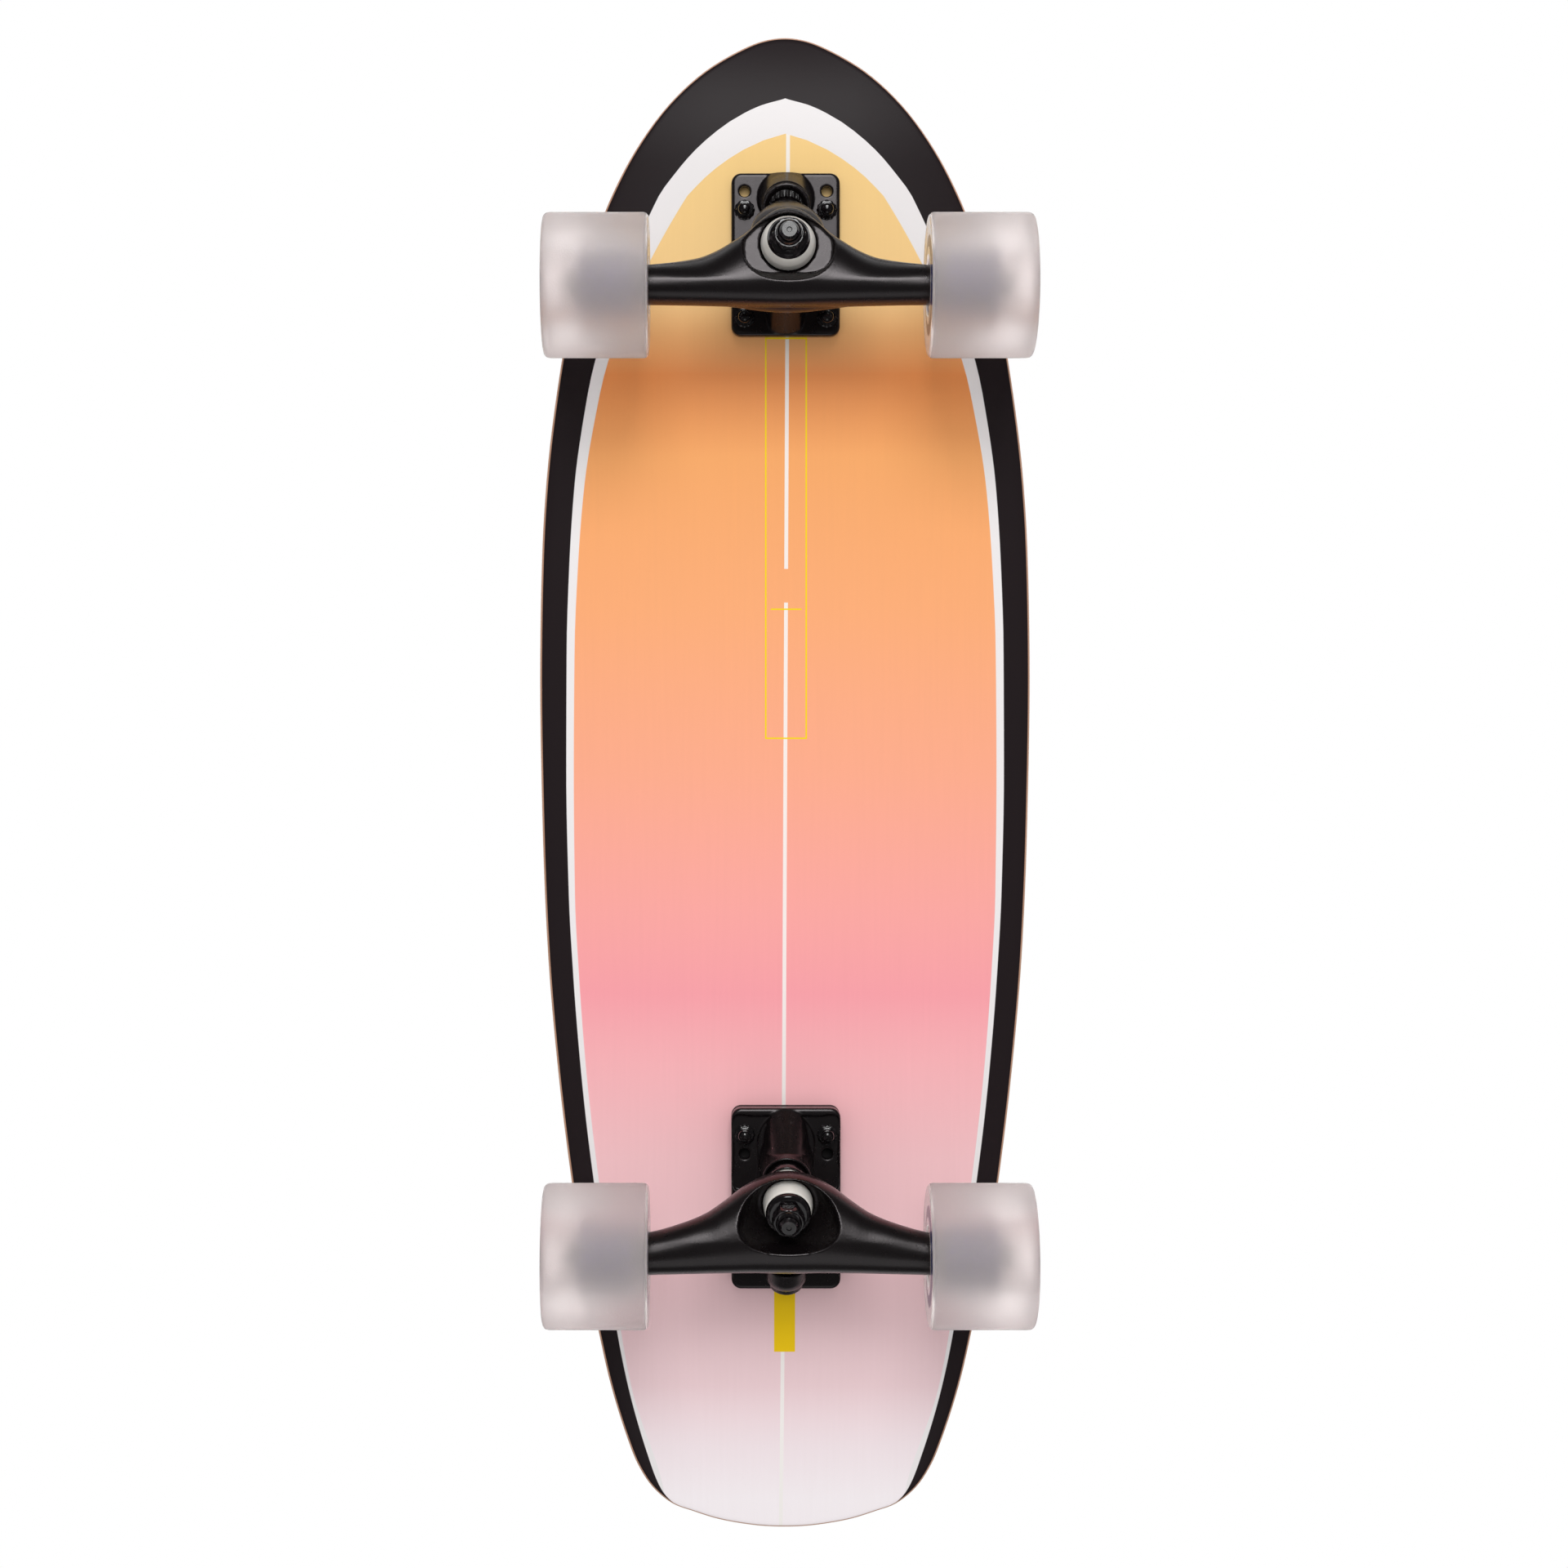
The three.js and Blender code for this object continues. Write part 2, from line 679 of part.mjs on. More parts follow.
// The neck from the yoke to the round pivot tip, as rings square to its path
function hangerNeck(truck) {
  const tip = pivot.tipRadius;
  const lean = degrees(truck.housingLean);
  const start = { u: truck.ringU, w: truck.ringW };
  const stations = truck.neckShares.map(([across, down, wide, deep]) => ({
    u: THREE.MathUtils.lerp(start.u, truck.pivotU, across),
    w: THREE.MathUtils.lerp(start.w, truck.pivotW, down),
    wide: wide * tip,
    deep: deep * tip,
  }));
  const capSteps = 4;
  for (let i = 0; i <= capSteps; i += 1) {
    const angle = (Math.PI / 2) * (i / capSteps) * tipCapShare;
    const back = tip * Math.sin(angle);
    stations.push({
      u: truck.pivotU - back * Math.sin(lean),
      w: truck.pivotW - back * Math.cos(lean),
      wide: tip * Math.cos(angle),
      deep: tip * Math.cos(angle),
    });
  }
  const around = facets.neck;
  const rings = stations.map((station, i) => {
    const before = stations[Math.max(0, i - 1)];
    const after = stations[Math.min(stations.length - 1, i + 1)];
    const along = i > truck.neckShares.length
      ? new THREE.Vector2(-Math.sin(lean), -Math.cos(lean))
      : new THREE.Vector2(after.u - before.u, after.w - before.w).normalize();
    const ring = [];
    for (let j = 0; j < around; j += 1) {
      const angle = (2 * Math.PI * j) / around;
      const out = station.deep * Math.cos(angle);
      ring.push(new THREE.Vector3(station.u + along.y * out, station.wide * Math.sin(angle),
        -(station.w - along.x * out)));
    }
    return ring;
  });
  return loft(rings);
}

// The flared oval pocket that the road side bushing stands in, open to the road
function hangerPocket(truck) {
  const towardsAxle = -Math.sign(truck.ringU);
  const floor = ringThickness / 2 + seatDepth;
  const mouthDepth = axleDrop + hangerEndRadius + truck.roadRise - truck.ringW;
  const mouth = mouthDepth / Math.cos(degrees(truck.kingpinLean));
  const stations = [[0, floor], [0.5, (floor + mouth) / 2], [1, mouth], [1, mouth + cutOverrun]];
  const rings = stations.map(([share, height]) => {
    const between = (key) => THREE.MathUtils.lerp(truck.pocketFloor[key], truck.pocketMouth[key], share);
    const ring = [];
    for (let j = 0; j < facets.pocket; j += 1) {
      const [c, s] = superEllipse((2 * Math.PI * j) / facets.pocket, pocketCurve);
      const along = c * towardsAxle > 0 ? between('back') : between('front');
      ring.push(new THREE.Vector3(-along * c, between('side') * s, height));
    }
    return ring;
  });
  return onKingpin(truck, loft(rings));
}

function hangerGeometry(truck) {
  const halfRing = ringThickness / 2;
  const body = joined(hangerBody(truck), hangerNeck(truck));
  const boreReach = halfRing + seatDepth + cutOverrun;
  const bore = cylinder(ringBoreRadius, -boreReach, boreReach, facets.hub);
  const roadSeatRadius = truck.bushing.seatRadius + seatMargin;
  const roadSeat = cylinder(roadSeatRadius, halfRing, boreReach, facets.pocket);
  const boardSeatRadius = boardsideBushing.seatRadius + seatMargin;
  const boardSeat = cylinder(boardSeatRadius, -halfRing - 2 * bushingHeight, -halfRing, facets.boss);
  const boreHalf = halfHanger + cutOverrun;
  const axleBore = cylinder(axleRadius + seatGap, -boreHalf, boreHalf, facets.hardware);
  axleBore.rotateX(Math.PI / 2).translate(0, 0, -axleDrop);
  return cut(body, hangerPocket(truck), onKingpin(truck, bore), onKingpin(truck, roadSeat),
    onKingpin(truck, boardSeat), axleBore);
}

function kingpinGeometry(truck) {
  const { head, end } = kingpinStack(truck);
  const shoulder = head + kingpin.headHeight;
  const bevel = kingpin.radius / 5;
  return onKingpin(truck, turned([
    [0, head], [kingpin.headRadius, head], [kingpin.headRadius, shoulder], [kingpin.radius, shoulder],
    [kingpin.radius, end - bevel], [kingpin.radius - bevel, end], [0, end],
  ], facets.hardware));
}

// A cup washer whose rim wraps the bushing's end; side is +1 where the rim points to the road
function cupWasherGeometry(truck, at, side) {
  const { roadRadius, boardRadius, thickness, rim, rimWall } = cupWasher;
  const radius = side > 0 ? boardRadius : roadRadius;
  const back = side > 0 ? at : at + thickness;
  const face = back + side * thickness;
  const profile = [
    [kingpin.radius + seatGap, back], [radius - thickness / 2, back],
    [radius, back + (side * thickness) / 2], [radius, face + side * rim],
    [radius - rimWall, face + side * rim], [radius - rimWall, face], [kingpin.radius + seatGap, face],
  ];
  return onKingpin(truck, turned(profile, facets.hub));
}

// A bushing from its seat on the hanger to the end held in the cup washer
function bushingGeometry(truck, at, side) {
  const { seatRadius, topRadius } = side > 0 ? truck.bushing : boardsideBushing;
  const seat = side > 0 ? at : at + bushingHeight;
  const end = seat + side * bushingHeight;
  const washerRadius = side > 0 ? cupWasher.roadRadius : cupWasher.boardRadius;
  const held = washerRadius - cupWasher.rimWall - seatGap;
  const step = end - side * (cupWasher.rim + seatGap);
  const bulge = THREE.MathUtils.lerp(seat, step, bulgePlaceShare);
  const bulgeRadius = THREE.MathUtils.lerp(seatRadius, topRadius, bulgeRadiusShare);
  const bore = kingpin.radius + seatGap;
  const profile = [
    [bore, seat], [seatRadius - seatGap, seat], [seatRadius, seat + side * seatDepth], [bulgeRadius, bulge],
    [topRadius, step], [held, step], [held, end], [bore, end],
  ];
  return onKingpin(truck, turned(profile, facets.hub));
}

function kingpinNutGeometry(truck) {
  const { nut } = kingpinStack(truck);
  const top = nut + kingpinNut.height;
  const body = hexagon(kingpinNut.acrossCorners, kingpinNut.bevel, nut, top);
  const collar = turned([
    [0, top - cutOverrun], [kingpinNut.collarRadius, top - cutOverrun],
    [kingpinNut.collarRadius, top + kingpinNut.collar / 2],
    [kingpinNut.collarRadius - kingpinNut.collar / 2, top + kingpinNut.collar],
    [0, top + kingpinNut.collar],
  ], facets.hardware);
  const boreEnd = top + kingpinNut.collar + cutOverrun;
  const bore = cylinder(kingpin.radius + seatGap, nut - cutOverrun, boreEnd, facets.hardware);
  return onKingpin(truck, cut(joined(body, collar), bore));
}

// A mounting bolt drops through the deck from its top; its nut sits on the plate's road side
function mountingBoltGeometry(truck) {
  const top = deck.thickness - seatGap;
  const nutTop = truck.riser + plate.thickness + mountingNut.height + mountingNut.collar;
  const bottom = -nutTop - mountingBolt.end;
  const { radius, headRadius, headHeight } = mountingBolt;
  const bevel = radius / 4;
  const profile = [
    [0, bottom], [radius - bevel, bottom], [radius, bottom + bevel], [radius, top - headHeight],
    [headRadius, top], [0, top],
  ];
  return turned(profile, facets.small);
}

function mountingNutGeometry(truck) {
  const { flangeRadius, flangeHeight, acrossCorners, height, collarRadius, collar } = mountingNut;
  const hex = cylinder(acrossCorners / 2, 0, height, 6);
  const flangeAndCollar = turned([
    [0, 0], [flangeRadius, 0], [flangeRadius, flangeHeight], [collarRadius, flangeHeight],
    [collarRadius, height + collar], [0, height + collar],
  ], facets.small);
  const boreEnd = height + collar + cutOverrun;
  const bore = cylinder(mountingBolt.radius + seatGap, -cutOverrun, boreEnd, facets.small);
  const nut = cut(joined(hex, flangeAndCollar), bore);
  return nut.rotateX(Math.PI).translate(0, 0, -truck.riser - plate.thickness - seatGap);
}

// Axle stack: places along one side of the axle, measured from the truck's middle
const bearingIn = halfHanger + seatGap + speedWasher.thickness;
const bearingOut = bearingIn + bearing.width + bearingSpacing;
const nutAt = bearingOut + bearing.width + speedWasher.thickness + seatGap;
const axleEnd = nutAt + axleNut.height + axleThreadEnd;
const coreIn = bearingIn - core.overhang;
const coreOut = bearingOut + bearing.width + core.overhang;

function axleGeometry() {
  const bevel = axleRadius / 6;
  const profile = [
    [0, -axleEnd], [axleRadius - bevel, -axleEnd], [axleRadius, bevel - axleEnd],
    [axleRadius, axleEnd - bevel], [axleRadius - bevel, axleEnd], [0, axleEnd],
  ];
  return turned(profile, facets.hardware);
}

// Solids on the axle are built about +Z and turned to the side of the truck that they are on
function onAxle(geometry, side) {
  return geometry.rotateX((-side * Math.PI) / 2).translate(0, 0, -axleDrop);
}

function tyreGeometry() {
  const { radius, width, recessRadius, recessFlare, dish, dishRadius, lipWidth, lipHeight } = wheel;
  const inner = wheelInnerFace;
  const outer = inner + width;
  const tread = outer - wheel.crown;
  const hold = core.radius + seatGap;
  return turned([
    [recessRadius + recessFlare, inner], [dishRadius, inner + dish], [radius - lipHeight, inner],
    [radius, inner + lipWidth], [radius, tread], [radius - wheel.shoulder / 4, outer - wheel.crown / 2],
    [radius - wheel.shoulder, outer - dish], [dishRadius + recessFlare, outer - dish],
    [wheel.outerMouth, outer],
    [recessRadius, coreOut + seatGap], [hold, coreOut + seatGap], [hold, coreIn - seatGap],
    [recessRadius, coreIn - seatGap],
  ], facets.wheel);
}

function coreGeometry() {
  const seat = bearing.radius + seatGap;
  const ledgeIn = bearingIn + bearing.width + seatGap;
  const ledgeOut = bearingOut - seatGap;
  return turned([
    [seat, coreIn], [core.radius, coreIn], [core.radius, coreOut], [seat, coreOut], [seat, ledgeOut],
    [core.ledgeRadius, ledgeOut], [core.ledgeRadius, ledgeIn], [seat, ledgeIn],
  ], facets.hub);
}

// A shielded bearing with the speed washer that stands on its inner ring; side is +1 where that faces out
function bearingGeometry(at, side) {
  const back = side > 0 ? at : at + bearing.width;
  const face = back + side * bearing.width;
  const washer = face + side * speedWasher.thickness;
  const bore = axleRadius + seatGap;
  return turned([
    [bore, back], [bearing.radius, back], [bearing.radius, face], [speedWasher.radius, face],
    [speedWasher.radius, washer], [bore, washer],
  ], facets.hardware);
}

function axleNutGeometry() {
  const body = hexagon(axleNut.acrossCorners, axleNut.bevel, nutAt, nutAt + axleNut.height);
  const boreEnd = nutAt + axleNut.height + cutOverrun;
  const bore = cylinder(axleRadius + seatGap, nutAt - cutOverrun, boreEnd, facets.hardware);
  return cut(body, bore);
}

// Assembly

const skateboard = new THREE.Group();
const hands = [['left', 1], ['right', -1]];

function piece(parent, name, finish, geometry) {
  const mesh = new THREE.Mesh(closed(geometry), new THREE.MeshStandardMaterial(finishes[finish]));
  mesh.name = name;
  parent.add(mesh);
}

piece(skateboard, 'deck', 'birch', deckGeometry());
piece(skateboard, 'grip_tape', 'grip', gripGeometry());

for (const truck of steeringTrucks) {
  const group = new THREE.Group();
  group.position.set(axleX[truck.name], 0, underside);
  group.rotation.z = truck.outward > 0 ? 0 : Math.PI;
  skateboard.add(group);
  const named = (part) => `${truck.name}_${part}`;
  const stack = kingpinStack(truck);
  if (truck.riser > 0) {
    piece(group, named('riser_pad'), 'blackRubber', riserGeometry(truck));
  }
  piece(group, named('baseplate'), 'castBlack', baseplateGeometry(truck));
  piece(group, named('pivot_cup'), 'blackRubber', pivotCupGeometry(truck));
  piece(group, named('hanger'), 'castBlack', hangerGeometry(truck));
  piece(group, named('axle'), 'steel', onAxle(axleGeometry(), 1));
  piece(group, named('kingpin'), 'blackSteel', kingpinGeometry(truck));
  piece(group, named('boardside_washer'), 'blackSteel', cupWasherGeometry(truck, stack.boardWasher, 1));
  piece(group, named('boardside_bushing'), 'paleUrethane', bushingGeometry(truck, stack.boardBushing, -1));
  piece(group, named('roadside_bushing'), 'paleUrethane', bushingGeometry(truck, stack.roadBushing, 1));
  piece(group, named('roadside_washer'), 'blackSteel', cupWasherGeometry(truck, stack.roadWasher, -1));
  piece(group, named('kingpin_nut'), 'blackSteel', kingpinNutGeometry(truck));
  for (const [row, u] of [['inner', truck.innerRow], ['outer', truck.innerRow + boltSpacingAlong]]) {
    for (const [hand, sign] of hands) {
      const y = (sign * truck.outward * boltSpacingAcross) / 2;
      const fixing = named(`${row}_${hand}_mounting`);
      piece(group, `${fixing}_bolt`, 'blackSteel', mountingBoltGeometry(truck).translate(u, y, 0));
      piece(group, `${fixing}_nut`, 'blackSteel', mountingNutGeometry(truck).translate(u, y, 0));
    }
  }
  for (const [hand, sign] of hands) {
    const side = sign * truck.outward;
    const ends = (part) => `${truck.name}_${hand}_${part}`;
    piece(group, ends('wheel_tyre'), 'frostedUrethane', onAxle(tyreGeometry(), side));
    piece(group, ends('wheel_core'), 'blueCore', onAxle(coreGeometry(), side));
    piece(group, ends('inner_bearing'), 'steel', onAxle(bearingGeometry(bearingIn, -1), side));
    piece(group, ends('outer_bearing'), 'steel', onAxle(bearingGeometry(bearingOut, 1), side));
    piece(group, ends('axle_nut'), 'blackSteel', onAxle(axleNutGeometry(), side));
  }
}

export default skateboard;
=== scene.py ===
import math

import bmesh
import bpy
import numpy as np
from mathutils import Matrix, Vector


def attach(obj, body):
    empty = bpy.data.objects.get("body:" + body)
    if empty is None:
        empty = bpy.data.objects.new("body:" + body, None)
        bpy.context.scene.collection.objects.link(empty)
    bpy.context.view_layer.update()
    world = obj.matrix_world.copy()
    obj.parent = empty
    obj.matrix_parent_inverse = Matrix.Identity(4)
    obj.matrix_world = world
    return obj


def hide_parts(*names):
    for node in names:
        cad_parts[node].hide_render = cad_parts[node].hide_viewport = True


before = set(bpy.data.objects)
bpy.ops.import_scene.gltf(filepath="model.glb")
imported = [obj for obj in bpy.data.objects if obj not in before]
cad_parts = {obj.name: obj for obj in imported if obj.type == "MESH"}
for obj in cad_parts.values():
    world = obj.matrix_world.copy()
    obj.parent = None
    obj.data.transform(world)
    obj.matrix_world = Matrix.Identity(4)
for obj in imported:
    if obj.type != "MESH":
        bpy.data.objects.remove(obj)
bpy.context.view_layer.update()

# Studio

# A copy stand: the board hangs over a glass-clear table and is seen from straight below, so the floor
# shows only from above. A soft lamp stands off the nose, a smaller one below lights the front plate, a
# weak one lies near the tail, and a wide panel hangs over the table for the views from above.

scene = bpy.context.scene
scene.view_settings.view_transform = "Standard"

# The camera looks straight up, with the nose at the top of the picture
camera_data = bpy.data.cameras.new("camera")
camera_data.lens = 68.25
camera_data.sensor_width = 36.0
camera_data.shift_x = 0.0417
camera_data.shift_y = -0.0495
camera = bpy.data.objects.new("camera", camera_data)
scene.collection.objects.link(camera)
camera.matrix_world = Matrix(((0, 1, 0, 0.0406), (1, 0, 0, -0.0337), (0, 0, -1, -1.401), (0, 0, 0, 1)))
scene.camera = camera


def add_node(tree, kind, inputs=None, **settings):
    """A shader node with its settings; each input is a plain value or another node's output."""
    made = tree.nodes.new(kind)
    for key, value in settings.items():
        setattr(made, key, value)
    for key, value in (inputs or {}).items():
        if isinstance(value, bpy.types.NodeSocket):
            tree.links.new(value, made.inputs[key])
        else:
            made.inputs[key].default_value = value
    return made


def maths(tree, kind, *values, clamp=False):
    """One arithmetic step on values or node outputs."""
    made = add_node(tree, "ShaderNodeMath", dict(enumerate(values)), operation=kind, use_clamp=clamp)
    return made.outputs[0]


def white_light(tree, strength):
    """White light of a strength from every side."""
    return add_node(tree, "ShaderNodeBackground", {"Color": (1, 1, 1, 1), "Strength": strength}).outputs[0]


def mixed(tree, share, first, second):
    """Two shaders mixed by a share."""
    return add_node(tree, "ShaderNodeMixShader", {0: share, 1: first, 2: second}).outputs[0]


# What mirrors see of the room, as (height of the view, light): dark up to the first, bright from the second
dim, bright = (0.15, 0.08), (0.55, 1.0)
fill_light = 0.62

world = bpy.data.worlds.new("studio")
scene.world = world
world.use_nodes = True
tree = world.node_tree
tree.nodes.clear()
path = add_node(tree, "ShaderNodeLightPath")
mirrored = maths(tree, "MAXIMUM", path.outputs["Is Glossy Ray"], path.outputs["Is Transmission Ray"])
view = add_node(tree, "ShaderNodeTexCoord").outputs["Generated"]
upward = add_node(tree, "ShaderNodeSeparateXYZ", {0: view}).outputs[2]
room = add_node(tree, "ShaderNodeMapRange", {0: upward, 1: dim[0], 2: bright[0], 3: dim[1], 4: bright[1]})
lit = mixed(tree, mirrored, white_light(tree, fill_light), white_light(tree, room.outputs[0]))
seen = mixed(tree, path.outputs["Is Camera Ray"], lit, white_light(tree, 1.0))
add_node(tree, "ShaderNodeOutputWorld", {"Surface": seen})


def soft_lamp(name, place, target, size, power):
    """A square lamp at a place, facing a target."""
    light = bpy.data.lights.new(name, "AREA")
    light.size = size
    light.energy = power
    lamp = bpy.data.objects.new(name, light)
    scene.collection.objects.link(lamp)
    lamp.location = place
    lamp.rotation_euler = (Vector(target) - Vector(place)).to_track_quat("-Z", "Y").to_euler()


soft_lamp("nose_lamp", (2.0, 0.0, -2.7), (0, 0, 0.09), size=1.3, power=47)
soft_lamp("lower_lamp", (0.9, 0.0, -2.9), (0, 0, 0.09), size=0.9, power=13)
soft_lamp("tail_lamp", (-1.25, 0.0, -0.9), (-0.2, 0, 0.09), size=0.9, power=1.8)
soft_lamp("upper_panel", (0.6, 0.4, 3.2), (0, 0, 0.09), size=5.0, power=75)

floor_half = 15
floor_mesh = bpy.data.meshes.new("floor")
floor_mesh.from_pydata([(x * floor_half, y * floor_half, 0) for x, y in ((-1, -1), (1, -1), (1, 1), (-1, 1))],
                       [], [(0, 1, 2, 3)])
floor = bpy.data.objects.new("floor", floor_mesh)
scene.collection.objects.link(floor)
floor_paint = bpy.data.materials.new("pale_floor")
floor_paint.use_nodes = True
tree = floor_paint.node_tree
tree.nodes.clear()
path = add_node(tree, "ShaderNodeLightPath")
upper = maths(tree, "SUBTRACT", 1.0, add_node(tree, "ShaderNodeNewGeometry").outputs["Backfacing"])
solid = maths(tree, "MULTIPLY", upper, path.outputs["Is Camera Ray"])
clear = add_node(tree, "ShaderNodeBsdfTransparent")
pale = add_node(tree, "ShaderNodeBsdfDiffuse", {"Color": (0.86, 0.86, 0.85, 1)})
add_node(tree, "ShaderNodeOutputMaterial", {"Surface": mixed(tree, solid, clear.outputs[0], pale.outputs[0])})
floor_mesh.materials.append(floor_paint)

# Deck

# A laminate of hardwood veneers, pressed in a mould so that its rails, nose and tail rise, then cut to
# its outline, sanded round along its edge, and printed on the underside.

MM = 0.001
half_length, half_width = 381.0, 124.5
underside, deck_thickness, edge_round = 99.0, 10.5, 2.4
flat_half, rail_rise, rail_curve = 33.0, 9.0, 1.7
nose_rise, nose_bend, nose_curve = 12.0, 66.0, 2
tail_rise, tail_bend, tail_curve = 26.0, 120.0, 1.6
# The ribs start from a spine, which ends this far from the nose and from the tail
nose_fan, tail_fan = 40.0, 62.0
outline_shares = np.array([
    (1, 0), (0.9963, 0.082), (0.985, 0.167), (0.952, 0.328), (0.905, 0.477), (0.844, 0.611), (0.783, 0.709),
    (0.725, 0.779), (0.67, 0.838), (0.617, 0.881), (0.564, 0.912), (0.455, 0.959), (0.37, 0.982),
    (0.292, 0.993), (0.14, 1), (-0.035, 0.991), (-0.144, 0.98), (-0.253, 0.961), (-0.362, 0.931),
    (-0.47, 0.893), (-0.6, 0.835), (-0.725, 0.76), (-0.8, 0.71), (-0.872, 0.646), (-0.91, 0.603),
    (-0.942, 0.544), (-0.966, 0.462), (-0.977, 0.377), (-0.989, 0.266), (-0.998, 0.115), (-1, 0),
])
half_outline = outline_shares * (half_length, half_width)


def smooth_loop(points, steps):
    """A curve through a closed loop of points: each span is blended from its four nearest points, whose
    knots stand apart by the root of their distance."""
    p0, p1, p2, p3 = (np.roll(points, shift, axis=0)[:, None] for shift in (1, 0, -1, -2))

    def knot(a, b):
        return np.sqrt(np.linalg.norm(b - a, axis=2, keepdims=True))

    t0 = np.zeros_like(knot(p0, p1))
    t1 = knot(p0, p1)
    t2 = t1 + knot(p1, p2)
    t3 = t2 + knot(p2, p3)
    t = t1 + (t2 - t1) * np.linspace(0, 1, steps, endpoint=False)[None, :, None]
    a1 = ((t1 - t) * p0 + (t - t0) * p1) / (t1 - t0)
    a2 = ((t2 - t) * p1 + (t - t1) * p2) / (t2 - t1)
    a3 = ((t3 - t) * p2 + (t - t2) * p3) / (t3 - t2)
    b1 = ((t2 - t) * a1 + (t - t0) * a2) / (t2 - t0)
    b2 = ((t3 - t) * a2 + (t - t1) * a3) / (t3 - t1)
    return (((t2 - t) * b1 + (t - t1) * b2) / (t2 - t1)).reshape(-1, points.shape[1])


def pressed_height(x, y):
    """Rise of the laminate: a power law to the nose, one to the tail and one up each rail."""
    nose = np.clip((x - half_length + nose_bend) / nose_bend, 0, 1)
    tail = np.clip((-x - half_length + tail_bend) / tail_bend, 0, 1)
    rail = np.maximum(0, (np.abs(y) - flat_half) / (half_width - flat_half))
    return nose_rise * nose ** nose_curve + tail_rise * tail ** tail_curve + rail_rise * rail ** rail_curve


def pressed_sheet(edge, low, high, inset, levels):
    """Ribs from the spine to the outline and back underneath: height is the pressed height plus the
    sheet's own, and edge lists (distance in from the outline, height) round the rim."""
    edge = np.asarray(edge, float)
    rim = smooth_loop(np.vstack((half_outline, half_outline[-2:0:-1] * (1, -1))), 5)
    spine = np.stack((np.clip(rim[:, 0], tail_fan - half_length, half_length - nose_fan), rim[:, 1] * 0), 1)
    reach = np.linalg.norm(rim - spine, axis=1)[:, None]
    across = np.linspace(0, 1, levels)[None, :] * (1 - inset / reach)
    shares = np.hstack((across, 1 - edge[:, 0][None, :] / reach, across[:, ::-1]))
    heights = np.concatenate((np.full(levels, low), edge[:, 1], np.full(levels, high)))
    plan = spine[:, None] + (rim - spine)[:, None] * shares[:, :, None]
    z = underside + pressed_height(plan[..., 0], plan[..., 1]) + heights[None, :]
    return np.dstack((plan, z))


def round_edge(inset, low, high, steps):
    """A rim of (distance in, height) rounded at both corners by quarter circles."""
    a = np.linspace(0, math.pi / 2, steps)
    under = np.stack((inset * (1 - np.sin(a)), low + inset * (1 - np.cos(a))), 1)
    over = np.stack((inset * (1 - np.cos(a)), high - inset * (1 - np.sin(a))), 1)
    return np.vstack((under, over))


# How a grid of points closes on itself
BY_ROWS, BY_COLUMNS, BOTH_WAYS = (True, False), (False, True), (True, True)


def grid_mesh(name, grid, closes):
    """A mesh from a grid of points in millimetres. Doubled points are merged, faces of no area are
    dropped, and the rest are turned outwards."""
    rows, columns = grid.shape[:2]
    index = np.arange(rows * columns).reshape(rows, columns)
    rows_close, columns_close = closes
    if rows_close:
        index = np.vstack((index, index[:1]))
    if columns_close:
        index = np.hstack((index, index[:, :1]))
    quads = np.stack((index[:-1, :-1], index[:-1, 1:], index[1:, 1:], index[1:, :-1]), -1).reshape(-1, 4)
    mesh = bpy.data.meshes.new(name)
    mesh.from_pydata((grid.reshape(-1, 3) * MM).tolist(), [], quads.tolist())
    work = bmesh.new()
    work.from_mesh(mesh)
    bmesh.ops.remove_doubles(work, verts=work.verts, dist=2e-6)
    bmesh.ops.dissolve_degenerate(work, dist=1e-7, edges=work.edges)
    bmesh.ops.recalc_face_normals(work, faces=work.faces)
    work.to_mesh(mesh)
    work.free()
    return mesh


def finish_piece(name, mesh, body, node, paints, crease):
    """Paints the mesh and links it as an object that rides on its body in the place of its solid. Edges
    sharper than the crease, in degrees, stay sharp."""
    mesh.name = name
    mesh.shade_smooth()
    mesh.set_sharp_from_angle(angle=math.radians(crease))
    for paint in paints:
        mesh.materials.append(paint)
    piece = bpy.data.objects.new(name, mesh)
    scene.collection.objects.link(piece)
    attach(piece, body)
    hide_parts(node)
    return piece


def new_piece(name, grid, closes, body, node, paints, crease):
    """One object from a grid of points in millimetres."""
    return finish_piece(name, grid_mesh(name, grid, closes), body, node, paints, crease)


def through(x, table):
    """A smooth curve through a table of (place, value): cubic spans whose slopes are held so that it
    never overshoots."""
    xs, ys = np.asarray(table, float).T
    step = np.diff(xs)
    rise = np.diff(ys) / step
    turns = rise[:-1] * rise[1:] <= 0
    inner = np.where(turns, 0, 2 * rise[:-1] * rise[1:] / (rise[:-1] + rise[1:] + 1e-12))
    slope = np.concatenate(([rise[0]], inner, [rise[-1]]))
    i = np.clip(np.searchsorted(xs, x) - 1, 0, len(xs) - 2)
    t = np.clip((x - xs[i]) / step[i], 0, 1)
    return ((2 * t ** 3 - 3 * t ** 2 + 1) * ys[i] + (t ** 3 - 2 * t ** 2 + t) * step[i] * slope[i]
            + (3 * t ** 2 - 2 * t ** 3) * ys[i + 1] + (t ** 3 - t ** 2) * step[i] * slope[i + 1])


def point_table(mesh):
    """The mesh's points, in millimetres."""
    table = np.empty(len(mesh.vertices) * 3)
    mesh.vertices.foreach_get("co", table)
    return table.reshape(-1, 3) / MM


def srgb(red, green, blue):
    """A colour given as 0 to 255 on a screen, in linear light."""
    share = np.array((red, green, blue)) / 255
    linear = np.where(share <= 0.04045, share / 12.92, ((share + 0.055) / 1.055) ** 2.4)
    return (*linear.tolist(), 1.0)


